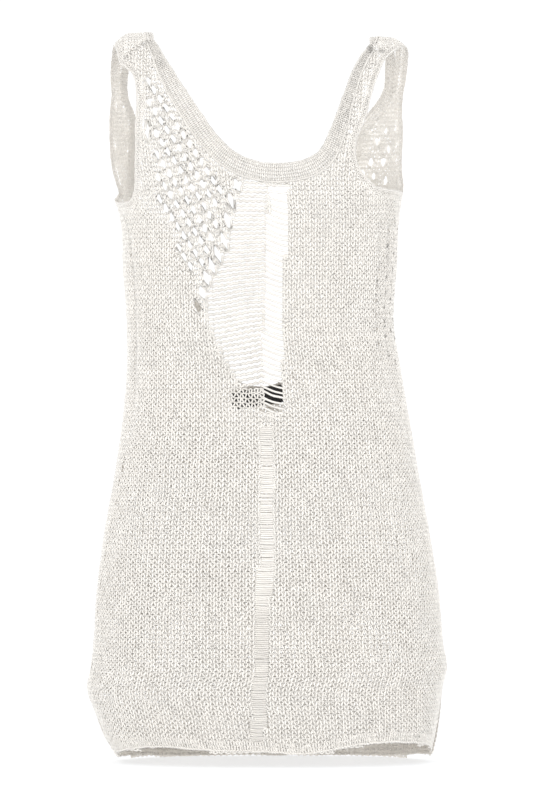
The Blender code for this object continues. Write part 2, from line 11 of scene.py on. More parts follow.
import bpy
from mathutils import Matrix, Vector
import numpy as np


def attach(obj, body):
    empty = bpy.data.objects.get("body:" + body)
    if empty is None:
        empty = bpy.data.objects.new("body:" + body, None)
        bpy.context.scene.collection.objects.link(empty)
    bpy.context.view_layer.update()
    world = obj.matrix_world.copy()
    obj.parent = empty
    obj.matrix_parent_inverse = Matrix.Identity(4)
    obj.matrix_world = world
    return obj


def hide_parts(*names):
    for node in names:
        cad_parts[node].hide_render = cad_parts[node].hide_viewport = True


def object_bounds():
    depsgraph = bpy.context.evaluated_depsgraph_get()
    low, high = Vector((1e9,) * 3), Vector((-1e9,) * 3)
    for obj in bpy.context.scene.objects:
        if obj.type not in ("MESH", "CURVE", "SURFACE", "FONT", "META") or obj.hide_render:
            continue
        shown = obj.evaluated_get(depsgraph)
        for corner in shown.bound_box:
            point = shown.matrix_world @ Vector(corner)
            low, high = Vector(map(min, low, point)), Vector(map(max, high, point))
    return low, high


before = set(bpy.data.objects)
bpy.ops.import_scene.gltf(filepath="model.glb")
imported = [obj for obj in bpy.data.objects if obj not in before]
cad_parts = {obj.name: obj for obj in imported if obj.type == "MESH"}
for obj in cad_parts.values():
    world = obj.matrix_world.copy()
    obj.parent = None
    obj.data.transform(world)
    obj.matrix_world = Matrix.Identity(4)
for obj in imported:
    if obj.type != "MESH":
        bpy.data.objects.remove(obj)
cad_box = [list(corner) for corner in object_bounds()]

MM = 0.001
SEAM_GAP = 0.3 * MM
ACROSS = 0.15  # metres of pattern for one radian round the body
SQUARENESS = 0.03  # how far a section of the body is from an ellipse
SIDE_RADIUS = 0.11  # metres, of the body's curve at its sides
PROBE = 0.2 * MM  # how far apart the form is read for its slopes
FRONT, BACK = -1, 1

# The body's sections, in mm: drop below the shoulder tops, depth of the front and of the back,
# half width, and the place of the middle. Above the underarms the straps use only a part of them.
Section = namedtuple("Section", "drop front back half middle")
SECTIONS = [Section(*row) for row in (
    (0, 0, 0, 176, -5), (3, 22, 22, 176, -5), (12, 42, 42, 176, -5), (30, 62, 60, 176, -5.5),
    (60, 78, 74, 174, -6), (100, 90, 82, 170, -6.5), (145, 98, 87, 155.5, -7.5),
    (190, 104, 90, 143.5, -3.5), (240, 107, 91, 140.7, -3.2), (300, 101, 86, 137.2, -2.8),
    (350, 97, 82, 141.0, 1.0), (400, 96, 84, 147.5, 3.2), (460, 100, 92, 157.3, 3.8),
    (520, 106, 102, 168.0, 4), (580, 112, 111, 176.3, 4.8), (630, 116, 117, 180, 5.4),
    (654, 118, 118, 183.1, 5.9), (672, 117, 118, 182.8, 1.9), (704, 113, 114, 175.6, 5),
    (723, 108, 109, 170.4, 7), (745, 101, 102, 160.7, 11.5), (765, 96, 97, 152, 15),
)]
STRAP_SHARE = 0.7  # how much of a section's depth the straps reach

# The tops of the straps round off towards the arms: from this x outwards they sink by rate * reach².
Shoulder = namedtuple("Shoulder", "side top start reach sink")
SHOULDERS = (Shoulder(-1, 0.0, 135, 24, 22), Shoulder(1, 4.5, 128, 21, 12))
SHOULDER_RUN = 50  # mm of run over which that fades

# Lengthwise gathers: middle and half span in x, first and last drop, waves, and height, in mm.
Gathers = namedtuple("Gathers", "face x span top bottom waves height")
GATHERS = (
    Gathers(FRONT, -127, 16, 18, 95, 2, 1.3),
    Gathers(FRONT, 105, 14, 14, 120, 2, 1.1),
    Gathers(BACK, 137, 15, 10, 95, 1.5, 1.1),
    Gathers(BACK, -149, 10, 12, 90, 1.0, 1.1),
)
HEM_WAVES = 9
HEM_WAVE_HEIGHT = 1.6
HEM_WAVE_DROP = 640  # mm, where the hem's waves begin
CREASE_DEPTH = 2.2  # the left side seam is drawn in, in mm
CREASE_WIDTH = 7
CREASE_RADIUS = 0.115  # metres, of the body's curve there
CREASE_DROPS = (185, 430)

# The left side seam lies forward of the side: drop in mm, and degrees round from the middle front.
LEFT_SEAM = ((170, -79), (205, -70), (245, -66), (320, -67), (380, -67), (480, -71),
             (560, -76), (640, -82), (700, -86), (765, -86))
RIGHT_SEAM = ((150, 89), (765, 89))
UNDERARMS = {-1: 177, 1: 166}  # mm of drop on the left and right

# Edges of the garment as (x, drop) in mm. A shoulder seam runs from its outer to its inner end, as
# (x, run), a little in front of the shoulder's top.
NECKLINE = ((-90.5, 45.2), (-74.2, 70.8), (-59.2, 93.2), (-46.7, 110.5), (-32.5, 124.7), (-13.2, 134.9),
            (7.2, 139), (27.5, 138.3), (43.8, 134.4), (58, 125.6), (69.2, 103.9), (83.1, 66.5), (96.5, 33))
BACK_NECKLINE = ((-139.7, 30), (-142.1, 60), (-137.6, 74), (-133.1, 88), (-134, 118), (-134.2, 155),
                 (-131.5, 171), (-125, 180), (-115, 188), (-104, 199), (-92.8, 215), (-76, 249),
                 (-63.5, 288), (-52.5, 315), (-41, 341), (-31, 356), (-17.8, 363.5), (-1, 365.5),
                 (13.5, 362.5), (24.5, 355), (36, 341), (52.1, 310), (68.7, 265.5), (80.2, 216.5),
                 (85.5, 170), (87.5, 128), (92.5, 102), (104.9, 86), (119.1, 69), (127.3, 55), (127.9, 37))
ARMHOLE_FRONT = {
    -1: ((-132, 45), (-127.6, 70), (-128.8, 92), (-129.4, 123), (-129.9, 156), (-132, 170), (-137, 176)),
    1: ((115.5, 48), (108.1, 74), (101.5, 95), (95.5, 109), (92.8, 124), (96, 141), (106, 154), (121, 163)),
}
ARMHOLE_BACK = {
    -1: ((-148.5, 166), (-153, 150), (-156.6, 134), (-158.2, 108), (-158, 77), (-156.4, 56), (-157.6, 40)),
    1: ((143.4, 145), (143.6, 118), (143.7, 88), (144.2, 66), (147, 49), (148.6, 30)),
}
SHOULDER_SEAM = {-1: ((-146, -58), (-113, -27)), 1: ((124, -52), (110.5, -30))}
OUTER_TOP = {-1: ((-154.5, 12), (-151.5, -22)), 1: ((148.7, 8), (142, -24))}  # (x, run) over the top
INNER_TOP = {-1: ((-126, 26), (-115.5, 0)), 1: ((126, 22), (112.5, 0))}

STEPS = {"neck_front": 46, "neck_back": 84, "arm_front": 20, "arm_back": 24, "seam": 24, "hem": 40}

# The hems, as degrees round from the middle of their side and drop in mm.
FRONT_HEM = ((-86, 743), (-60, 734), (-35, 731), (-8, 734), (12, 736), (26, 729), (45, 726), (65, 729),
             (89, 739))
BACK_HEM = ((-98, 743.5), (-60, 747), (0, 749), (60, 746), (91, 740.5))

# Widths of the bands in mm, from one end of the edge to the other.
NECKBAND_WIDTHS = (7, 13, 17, 18, 18, 18, 18, 17, 14, 10, 8, 7)
BACK_NECKBAND_WIDTHS = (5, 5, 5, 8, 12, 12, 12, 12, 12, 12, 12, 8, 6)
ARMBAND_FRONT_WIDTHS = {-1: (5, 6, 6, 6, 7), 1: (5, 6, 6, 6, 7)}
ARMBAND_BACK_WIDTHS = {-1: (7, 6, 5, 5, 5), 1: (7, 6, 6, 6, 5)}

# Gaps in the knit over 4 mm. A gap is a hexagon: middle x and drop, width, height and lean in mm
# and degrees, where a leaning gap's top is moved to the left.
Gap = namedtuple("Gap", "x drop width height lean")
NET_START = (-100.1, 160.7)
NET_ROW = (11.0, -3.66)
NET_COLUMN = (6.1, 9.3)
NET_EYELET = (5.2, 8.2, 12)
NET_AREA = ((-121, 50), (-107, 57), (-90, 84), (-66, 112), (-42, 130), (-38, 160), (-43, 190),
            (-49, 214), (-60, 236), (-70, 256), (-80, 240), (-95, 203), (-107, 180), (-110, 150),
            (-111, 120), (-115, 90))
NET_PLACES = range(-14, 14)  # of the lattice, more than the net holds
NET_BORDER = (
    Gap(-26.5, 160, 7, 12, 20), Gap(-32.6, 176, 7, 15, 16), Gap(-36, 196, 6.5, 16, 14),
    Gap(-39.5, 216.7, 6, 18, 20), Gap(-46, 230, 6, 18, 20), Gap(-52, 241.5, 6, 16, 20),
    Gap(-57.5, 254, 6, 15, 20), Gap(-61.5, 269, 7, 12, 20), Gap(-66.5, 283, 6, 13, 15),
)
LADDER_TOP = Gap(20.5, 163, 12, 4.6, 10)
LADDER_DROPS = (176, 372)
LADDER_LEFT = (6.2, 0.2)  # x at the top and at the bottom
LADDER_RIGHT = (24.2, 19)
LADDER_SAG = 9  # mm, by which a thread's right end hangs lower
LOW_LADDER = (444, 538, 9)  # first and last drop, and how many gaps
STRAP_SLIT = Gap(-117.5, 104, 4.2, 20, 4)
SIDE_NET_ANGLES = (56, 64.5, 73, 81)
SIDE_NET_DROPS = (196, 338, 10)
SIDE_NET_GAP = (5.0, 9.5)
BACK_NET = (
    Gap(118.5, 110, 5, 8, 0), Gap(128, 98, 4.4, 6, 0), Gap(130.5, 117, 4.4, 8, 0), Gap(112.5, 130, 6, 7, 0),
    Gap(125, 131, 4.6, 8, 0), Gap(103, 142, 6, 6, 0), Gap(115, 145, 5, 6, 0), Gap(127.5, 150, 4.4, 8, 0),
)
LEAST_STRAND = 2.2  # mm of knit left between two gaps


def fitted(xs, ys, x):
    """A smooth curve through the points (xs, ys), read at x."""
    xs = np.asarray(xs, float)
    ys = np.asarray(ys, float)
    slope = np.gradient(ys, xs)
    i = np.clip(np.searchsorted(xs, x) - 1, 0, len(xs) - 2)
    step = xs[i + 1] - xs[i]
    t = (x - xs[i]) / step
    rise = ys[i] * (2 * t**3 - 3 * t**2 + 1) + ys[i + 1] * (3 * t**2 - 2 * t**3)
    return rise + step * (slope[i] * (t**3 - 2 * t**2 + t) + slope[i + 1] * (t**3 - t**2))


def table_columns():
    """The sections' columns in metres, mirrored so that they pass smoothly over the shoulder's top."""
    rows = np.array(SECTIONS, float) * MM
    steps = np.hypot(np.diff(rows[:, 0]), STRAP_SHARE * np.diff(rows[:, 1]))
    run = np.concatenate([[0], np.cumsum(steps)])
    both = {"run": np.concatenate([-run[:0:-1], run])}
    for name, column in zip(Section._fields, rows.T):
        both[name] = np.concatenate([column[:0:-1], column])
    both["depth"] = np.concatenate([-rows[:0:-1, 1], rows[:, 2]])
    return both


COLUMNS = table_columns()
FINE_STEPS = 4000
FINE_RUN = np.linspace(0, COLUMNS["run"][-1], FINE_STEPS)
FINE_DROP = fitted(COLUMNS["run"], COLUMNS["drop"], FINE_RUN)


def column(name, run):
    return fitted(COLUMNS["run"], COLUMNS[name], run)


def round_the_body(angle):
    """Sideways and forward share of a section at an angle from its middle."""
    side = (np.sin(angle) + SQUARENESS * np.sin(3 * angle)) / (1 - SQUARENESS)
    out = (np.cos(angle) - SQUARENESS * np.cos(3 * angle)) / (1 - SQUARENESS)
    return side, out


def fade(value, start, end):
    """0 before start, 1 after end, smooth between them."""
    t = np.clip((value - start) / (end - start), 0, 1)
    return t * t * (3 - 2 * t)


def window(value, start, end, soft):
    return fade(value, start, start + soft) * (1 - fade(value, end - soft, end))


def smooth_form(across, run):
    """Points of the body's form without folds."""
    side, out = round_the_body(across / ACROSS)
    depth = np.where(out >= 0, column("depth", run), -column("depth", -run))
    x = column("middle", run) + column("half", run) * side
    z = -column("drop", run)
    near_top = np.exp(-((run / MM / SHOULDER_RUN) ** 2))
    for shoulder in SHOULDERS:
        beyond = np.maximum(0, shoulder.side * x / MM - shoulder.start) / shoulder.reach
        here = fade(shoulder.side * x / MM, 0, 60)
        z = z - MM * near_top * here * (shoulder.top + shoulder.sink * beyond**2)
    return np.stack([x, depth * out, z], axis=-1)


def fold_height(across, run):
    """How far the folds lift the cloth from the form."""
    x = smooth_form(across, run)[..., 0] / MM
    drop = column("drop", run) / MM
    face = np.where(run < 0, FRONT, BACK)
    height = np.zeros_like(drop)
    for row in GATHERS:
        away = (x - row.x) / row.span
        lengthwise = window(drop, row.top, row.bottom, (row.bottom - row.top) / 2.5)
        there = lengthwise * fade(-np.abs(away), -1.2, -0.7)
        height += np.where(face == row.face, row.height * there * np.cos(math.pi * row.waves * away), 0)
    wave = np.sin(HEM_WAVES * across / ACROSS + 0.7 * np.sin(3 * across / ACROSS) + face)
    height += HEM_WAVE_HEIGHT * fade(drop, HEM_WAVE_DROP, 740) * wave
    seam = np.radians(seam_angle(-1, drop))
    off_seam = (across / ACROSS - np.where(run < 0, seam, -math.pi - seam)) * CREASE_RADIUS / MM
    drawn = window(drop, *CREASE_DROPS, 60) * np.exp(-((off_seam / CREASE_WIDTH) ** 2))
    return MM * (height - CREASE_DEPTH * drawn)


def out_of(across, run, surface):
    d_across = surface(across + PROBE, run) - surface(across - PROBE, run)
    d_run = surface(across, run + PROBE) - surface(across, run - PROBE)
    normal = np.cross(d_across, d_run)
    return normal / np.linalg.norm(normal, axis=-1, keepdims=True)


def folded_form(across, run):
    normal = out_of(across, run, smooth_form)
    return smooth_form(across, run) + normal * fold_height(across, run)[..., None]


def on_cloth(pattern, lift=0.0):
    """Points of the cloth for rows of (across, run), lifted along the outward normal."""
    across, run = np.asarray(pattern, float).T
    return folded_form(across, run) + out_of(across, run, folded_form) * np.reshape(lift, (-1, 1))


def seam_angle(side, drop):
    table = np.array(LEFT_SEAM if side < 0 else RIGHT_SEAM, float)
    return fitted(table[:, 0], table[:, 1], drop)


def across_at(x, run, face):
    """The across of an x in metres, on the half of a section that faces the same way as the face."""
    angle = np.linspace(-math.pi / 2, math.pi / 2, 2000)
    side, _ = round_the_body(angle)
    share = (x - column("middle", run)) / column("half", run)
    return ACROSS * np.interp(share, side, angle)


def from_drop(points, face):
    """(x, drop) in mm as pattern points."""
    x, drop = np.asarray(points, float).T * MM
    run = face * np.interp(drop, FINE_DROP, FINE_RUN)
    return np.stack([across_at(x, run, face), run], axis=-1)


def from_run(points):
    """(x, run) in mm as pattern points."""
    x, run = np.asarray(points, float).T * MM
    return np.stack([across_at(x, run, FRONT), run], axis=-1)


def on_seam(side, drop, face):
    """A pattern point of the side seam."""
    angle = math.radians(float(seam_angle(side, drop)))
    run = float(np.interp(drop * MM, FINE_DROP, FINE_RUN))
    if face == BACK:
        angle = math.copysign(math.pi, angle) - angle
    return np.array([ACROSS * angle, face * run])


def drawn(points, count):
    """A smooth curve through points, as count + 1 points at even distances."""
    points = np.asarray(points, float)
    ends = [2 * points[0] - points[1], *points, 2 * points[-1] - points[-2]]
    curve = []
    for a, b, c, d in zip(ends, ends[1:], ends[2:], ends[3:]):
        for t in np.linspace(0, 1, 24, endpoint=False):
            curve.append(0.5 * (2 * b + (c - a) * t + (2 * a - 5 * b + 4 * c - d) * t**2
                                + (3 * b - a - 3 * c + d) * t**3))
    curve = np.array(curve + [points[-1]])
    length = np.concatenate([[0], np.cumsum(np.linalg.norm(np.diff(curve, axis=0), axis=1))])
    even = np.linspace(0, length[-1], count + 1)
    return np.stack([np.interp(even, length, axis) for axis in curve.T], axis=-1)


def inset(curve, widths, side, extra=0.0):
    """A curve beside another one on the cloth, widths in mm away on its left (1) or right (-1)."""
    count = len(curve)
    width = np.interp(np.linspace(0, 1, count), np.linspace(0, 1, len(widths)), widths) * MM + extra
    tangent = np.gradient(curve, axis=0)
    result = []
    for point, heading, far in zip(curve, tangent, width):
        here = on_cloth([point, point + (PROBE, 0), point + (0, PROBE)])
        axes = (here[1:] - here[0]).T / PROBE
        normal = np.cross(axes[:, 0], axes[:, 1])
        beside = np.cross(normal / np.linalg.norm(normal), axes @ heading)
        beside *= side * far / np.linalg.norm(beside)
        result.append(point + np.linalg.lstsq(axes, beside, rcond=None)[0])
    return np.array(result)


def edge_curves():
    """Every edge of the garment in pattern points, each from its left or shoulder end."""
    seams = {side: from_run(SHOULDER_SEAM[side]) for side in (-1, 1)}
    curves = {}
    neck = [seams[-1][1], *from_drop(NECKLINE, FRONT), seams[1][1]]
    curves["neck_front"] = drawn(neck, STEPS["neck_front"])
    inner = {side: from_run(INNER_TOP[side]) for side in (-1, 1)}
    neck = [seams[-1][1], *inner[-1][::-1], *from_drop(BACK_NECKLINE, BACK), *inner[1], seams[1][1]]
    curves["neck_back"] = drawn(neck, STEPS["neck_back"])
    for side in (-1, 1):
        under, shoulder = UNDERARMS[side], seams[side][0]
        front = [shoulder, *from_drop(ARMHOLE_FRONT[side], FRONT), on_seam(side, under, FRONT)]
        curves["arm_front", side] = drawn(front, STEPS["arm_front"])
        over = from_run(OUTER_TOP[side])
        back = [on_seam(side, under, BACK), *from_drop(ARMHOLE_BACK[side], BACK), *over, shoulder]
        curves["arm_back", side] = drawn(back, STEPS["arm_back"])
        curves["seam", side] = seams[side]
    return curves


def along(line, distance):
    """The point this far from the first end of a straight line of the pattern."""
    return line[0] + (line[1] - line[0]) * distance / np.linalg.norm(line[1] - line[0])


def band_edges(curves, extra):
    """The bands' inner edges. With extra, the edges of the panels that meet them across a gap."""
    inner = {}
    inner["neck_front"] = inset(curves["neck_front"], NECKBAND_WIDTHS, -1, extra)
    inner["neck_back"] = inset(curves["neck_back"], BACK_NECKBAND_WIDTHS, 1, extra)
    for side in (-1, 1):
        for half, widths in (("arm_front", ARMBAND_FRONT_WIDTHS), ("arm_back", ARMBAND_BACK_WIDTHS)):
            inner[half, side] = inset(curves[half, side], widths[side], -side, extra)
        under = UNDERARMS[side] + ARMBAND_FRONT_WIDTHS[side][-1] + extra / MM
        inner["arm_front", side][-1] = on_seam(side, under, FRONT)
        inner["arm_back", side][0] = on_seam(side, under, BACK)
        seam = curves["seam", side]
        outer_end = along(seam, ARMBAND_FRONT_WIDTHS[side][0] * MM + extra)
        inner["arm_front", side][0] = outer_end
        inner["arm_back", side][-1] = outer_end
        end = 0 if side < 0 else -1
        inner["neck_front"][end] = along(seam[::-1], NECKBAND_WIDTHS[0] * MM + extra)
        inner["neck_back"][end] = along(seam[::-1], BACK_NECKBAND_WIDTHS[0] * MM + extra)
    return inner


def straight(start, end, count):
    """Points between two ends, without the ends."""
    return [start + (end - start) * t for t in np.linspace(0, 1, count + 1)[1:-1]]


def side_seam(side, face, top, bottom):
    """The panel's edge at the side seam, half a gap from it, from its top to the hem."""
    rows = [on_seam(side, drop, face) for drop in np.linspace(top, bottom, STEPS["seam"] + 1)]
    inwards = -side * 0.5 * SEAM_GAP * ACROSS / SIDE_RADIUS
    return [row + (inwards, 0) for row in rows]


def hem(table, face, count):
    """The hem from the left to the right side seam, without its ends."""
    table = np.array(table, float)
    angles = np.linspace(table[0, 0], table[-1, 0], count + 1)
    drops = fitted(table[:, 0], table[:, 1], angles)
    runs = face * np.interp(drops * MM, FINE_DROP, FINE_RUN)
    return list(np.stack([ACROSS * np.radians(angles), runs], axis=-1))[1:-1]


def panel_outline(curves, face):
    """A panel's closed outline in pattern points."""
    inner = band_edges(curves, SEAM_GAP)
    name = "front" if face == FRONT else "back"
    table = FRONT_HEM if face == FRONT else BACK_HEM
    shift = np.array([0, 0.6 * face * SEAM_GAP])
    arm = {side: inner["arm_" + name, side] for side in (-1, 1)}
    if face == BACK:
        arm = {side: curve[::-1] for side, curve in arm.items()}
    neck = inner["neck_" + name]
    outline = []
    tops = {side: UNDERARMS[side] + ARMBAND_FRONT_WIDTHS[side][-1] + SEAM_GAP / MM for side in (-1, 1)}
    left = side_seam(-1, face, tops[-1], table[0][1])
    right = side_seam(1, face, tops[1], table[-1][1])
    outline += left[::-1]
    outline += list(arm[-1][1:-1][::-1])
    outline += [arm[-1][0] + shift, *(p + shift for p in straight(arm[-1][0], neck[0], 3)), neck[0] + shift]
    outline += list(neck[1:-1])
    outline += [neck[-1] + shift, *(p + shift for p in straight(neck[-1], arm[1][0], 2)), arm[1][0] + shift]
    outline += list(arm[1][1:-1])
    outline += right
    outline += hem(table, face, STEPS["hem"])[::-1]
    return np.array(outline)


def hexagon(gap):
    """A gap's corners as (x, drop) in mm."""
    lean = math.radians(gap.lean)
    corners = []
    for across, down in ((0, -1), (1, -0.45), (1, 0.45), (0, 1), (-1, 0.45), (-1, -0.45)):
        u, v = across * gap.width / 2, down * gap.height / 2
        corners.append((gap.x + u * math.cos(lean) + v * math.sin(lean),
                        gap.drop - u * math.sin(lean) + v * math.cos(lean)))
    return np.array(corners)


def inside(points, loops):
    """Which points lie inside an odd number of loops."""
    points = np.asarray(points, float)
    odd = np.zeros(len(points), bool)
    for loop in loops:
        ends = np.roll(loop, -1, axis=0)
        for (x0, y0), (x1, y1) in zip(loop, ends):
            crosses = (y0 > points[:, 1]) != (y1 > points[:, 1])
            if crosses.any():
                at = x0 + (points[:, 1] - y0) / (y1 - y0 + 1e-30) * (x1 - x0)
                odd ^= crosses & (points[:, 0] < at)
    return odd


def net_gaps():
    """The eyelets of the open net, in a slanted lattice, where they are clear of its border."""
    border = np.concatenate([hexagon(gap) for gap in NET_BORDER])
    found = []
    for row in NET_PLACES:
        for place in NET_PLACES:
            x = NET_START[0] + place * NET_ROW[0] + row * NET_COLUMN[0]
            drop = NET_START[1] + place * NET_ROW[1] + row * NET_COLUMN[1]
            gap = Gap(x, drop, *NET_EYELET)
            corners = hexagon(gap)
            near = np.linalg.norm(corners[:, None] - border[None], axis=-1).min()
            if inside([(x, drop)], [NET_AREA])[0] and near > LEAST_STRAND:
                found.append(corners)
    return found


def side_net_gaps():
    """Gaps of the stretched knit at the right side of the front, in pattern points."""
    found = []
    first, last, count = SIDE_NET_DROPS
    for n, angle in enumerate(SIDE_NET_ANGLES):
        for drop in np.linspace(first, last, count)[: count - n % 2]:
            middle = drop + (n % 2) * 0.5 * (last - first) / (count - 1)
            run = -np.interp(middle * MM, FINE_DROP, FINE_RUN)
            corners = hexagon(Gap(0, 0, SIDE_NET_GAP[0] * ACROSS / SIDE_RADIUS, SIDE_NET_GAP[1], 0)) * MM
            found.append(corners + (ACROSS * math.radians(angle), run))
    return found


def clear_gaps(gaps, outline):
    """The gaps that lie wholly in a panel and leave a strand of knit at its edge."""
    ends = np.roll(outline, -1, axis=0)
    rim = np.concatenate([outline + (ends - outline) * t for t in np.linspace(0, 1, 8, endpoint=False)])
    least = LEAST_STRAND * MM
    return [gap for gap in gaps if inside(gap, [outline]).all()
            and np.linalg.norm(gap[:, None] - rim[None], axis=-1).min() > least]


# ---------------------------------------------------------------- the form, on a fine grid

GRID_ACROSS = np.arange(-0.325, 0.3251, 0.0025)
GRID_RUN = np.arange(-0.835, 0.8351, 0.003)
GRID_ARC = np.arange(-0.36, 0.3601, 0.0015)


def read_grid(grid, axis_u, axis_v, u, v):
    """Bilinear reading of a grid whose first two axes are evenly spaced."""
    fu = np.clip((u - axis_u[0]) / (axis_u[1] - axis_u[0]), 0, len(axis_u) - 1.001)
    fv = np.clip((v - axis_v[0]) / (axis_v[1] - axis_v[0]), 0, len(axis_v) - 1.001)
    iu, iv = fu.astype(int), fv.astype(int)
    tu, tv = fu - iu, fv - iv
    if grid.ndim == 3:
        tu, tv = tu[..., None], tv[..., None]
    return ((1 - tu) * ((1 - tv) * grid[iu, iv] + tv * grid[iu, iv + 1])
            + tu * ((1 - tv) * grid[iu + 1, iv] + tv * grid[iu + 1, iv + 1]))


class Cloth:
    """Points, outward normals and arc lengths round the body, read from a grid."""

    def __init__(self):
        across, run = np.meshgrid(GRID_ACROSS, GRID_RUN, indexing="ij")
        self.points = folded_form(across, run)
        d_across = np.gradient(self.points, axis=0)
        d_run = np.gradient(self.points, axis=1)
        normal = np.cross(d_across, d_run)
        self.normals = normal / np.linalg.norm(normal, axis=-1, keepdims=True)
        step = np.linalg.norm(np.diff(self.points, axis=0), axis=-1)
        arc = np.concatenate([np.zeros((1, len(GRID_RUN))), np.cumsum(step, axis=0)])
        middle = len(GRID_ACROSS) // 2
        self.arcs = arc - arc[middle]
        self.across_of_arc = np.stack([np.interp(GRID_ARC, self.arcs[:, k], GRID_ACROSS)
                                       for k in range(len(GRID_RUN))], axis=1)

    def arc(self, across, run):
        return read_grid(self.arcs, GRID_ACROSS, GRID_RUN, across, run)

    def across(self, arc, run):
        return read_grid(self.across_of_arc, GRID_ARC, GRID_RUN, arc, run)

    def place(self, across, run, lift):
        point = read_grid(self.points, GRID_ACROSS, GRID_RUN, across, run)
        normal = read_grid(self.normals, GRID_ACROSS, GRID_RUN, across, run)
        normal /= np.linalg.norm(normal, axis=-1, keepdims=True)
        return point + normal * np.asarray(lift)[..., None], normal


cloth = Cloth()
NOISE_CELLS = 256  # after which it repeats


class Noise:
    """Smooth seeded noise over two lengths, between -1 and 1."""

    def __init__(self, seed, cell):
        self.values = np.random.default_rng(seed).uniform(-1, 1, (NOISE_CELLS, NOISE_CELLS))
        self.cell = cell

    def __call__(self, u, v):
        u, v = np.asarray(u) / self.cell, np.asarray(v) / self.cell
        iu, iv = np.floor(u).astype(int), np.floor(v).astype(int)
        tu, tv = u - iu, v - iv
        tu, tv = tu * tu * (3 - 2 * tu), tv * tv * (3 - 2 * tv)
        corners = ((0, 0), (1, 0), (0, 1), (1, 1))
        a, b, c, d = (self.values[(iu + i) % NOISE_CELLS, (iv + j) % NOISE_CELLS] for i, j in corners)
        return (a * (1 - tu) + b * tu) * (1 - tv) + (c * (1 - tu) + d * tu) * tv


# ---------------------------------------------------------------- yarn

YARN = 1.58 * MM  # half the width
YARN_FLAT = 0.26  # thickness against width
SIDES = 3  # of each tube
SAMPLES = 8  # points of a stitch's path
UNEVEN_YARN = 0.14  # how far its thickness varies
POINT_STEP = 2.1 * MM  # of its noises, from one point to the next
STRAND_STEP = 31 * MM  # of its noises, from one strand to the next
SHADE_STEP = 17 * MM
SHADE_STRETCH = 0.4  # how slowly its tone changes against its thickness
WANDER = 0.42 * MM  # how far neighbouring stitches move together
SLOW_WANDER = (0.7 * MM, 0.8 * MM)  # how far whole patches do, across and down
STITCH_WANDER = 0.6 * MM  # how uneven each stitch is
LIFT_WANDER = 0.25 * MM
COURSE_STEP = 2.3 * MM  # of the quick noises, from one course to the next
MAP_MARGIN = 0.01  # of the texture map, round all of it
MAP_SIDE = 1e-4  # of the map, between the sides of one tube
PER_LOOP = np.arange(SAMPLES + 1) / SAMPLES


def yarn_object(name, strand, points, normals, radii, pattern, tone):
    """One mesh of closed yarn tubes. strand numbers the points' tubes, in order along each."""
    count = len(points)
    same = strand[1:] == strand[:-1]
    before = np.arange(count) - np.concatenate([[0], same]).astype(int)
    after = np.arange(count) + np.concatenate([same, [0]]).astype(int)
    tangent = points[after] - points[before]
    tangent /= np.linalg.norm(tangent, axis=1, keepdims=True) + 1e-12
    out = normals - tangent * (normals * tangent).sum(axis=1, keepdims=True)
    out /= np.linalg.norm(out, axis=1, keepdims=True) + 1e-12
    beside = np.cross(tangent, out)
    angle = np.arange(SIDES) * 2 * math.pi / SIDES
    ring = (YARN_FLAT * out[:, None] * np.cos(angle)[None, :, None]
            + beside[:, None] * np.sin(angle)[None, :, None])
    vertices = (points[:, None] + ring * radii[:, None, None]).reshape(-1, 3)
    links = np.nonzero(same)[0]
    side = np.arange(SIDES)
    a = links[:, None] * SIDES + side
    b = links[:, None] * SIDES + (side + 1) % SIDES
    quads = np.stack([a, b, b + SIDES, a + SIDES], axis=-1).reshape(-1, 4)
    first = np.nonzero(before == np.arange(count))[0]
    last = np.nonzero(after == np.arange(count))[0]
    caps = np.concatenate([first[:, None] * SIDES + side[::-1], last[:, None] * SIDES + side])
    corners = np.concatenate([quads.ravel(), caps.ravel()])
    starts = np.concatenate([np.arange(len(quads)) * 4, len(quads) * 4 + np.arange(len(caps)) * SIDES])
    mesh = bpy.data.meshes.new(name)
    mesh.vertices.add(len(vertices))
    mesh.vertices.foreach_set("co", vertices.astype(np.float32).ravel())
    mesh.loops.add(len(corners))
    mesh.loops.foreach_set("vertex_index", corners.astype(np.int32))
    mesh.polygons.add(len(starts))
    mesh.polygons.foreach_set("loop_start", starts.astype(np.int32))
    mesh.update(calc_edges=True)
    mesh.shade_smooth()
    # The side turned to the inside is shaded flat, and so are the ends.
    inner = np.arange(len(starts)) % SIDES == 1
    inner[len(quads):] = True
    mesh.attributes.new("sharp_face", "BOOLEAN", "FACE").data.foreach_set("value", inner)
    low, high = pattern.min(axis=0), pattern.max(axis=0)
    flat = np.repeat((pattern - low) / (high - low), SIDES, axis=0) * (1 - 2 * MAP_MARGIN) + MAP_MARGIN
    flat += np.tile(np.stack([side, side * 0], axis=-1), (count, 1)) * MAP_SIDE
    uv = mesh.uv_layers.new(name="OFBake")
    uv.data.foreach_set("uv", flat[corners].astype(np.float32).ravel())
    shade = mesh.attributes.new("tone", "FLOAT", "POINT")
    shade.data.foreach_set("value", np.repeat(tone, SIDES).astype(np.float32))
    piece = bpy.data.objects.new(name, mesh)
    bpy.context.scene.collection.objects.link(piece)
    return piece


thick_and_thin = Noise(5, 9 * MM)
wander_across = Noise(11, 7 * MM)
wander_down = Noise(12, 7 * MM)
slow_wander = Noise(13, 26 * MM)
quick_across = Noise(14, 3.1 * MM)
quick_down = Noise(15, 3.1 * MM)
shade_noise = Noise(17, 6 * MM)

# Over the label the yarn is drawn thin: x and drop in mm, and what is left of the yarn.
THIN_YARN = ((-33, 20), (362, 388), 0.70)
STRAP_YARN = 0.05  # how much thicker the yarn is in the straps
STRAP_DROPS = (110, 175)
SEAM_SHADE = 2.2  # how much painted shade darkens the tone along the drawn-in left side seam
SEAM_SHADE_WIDTH = 1.9 * MM
SEAM_SHADE_DROPS = (168, 385)
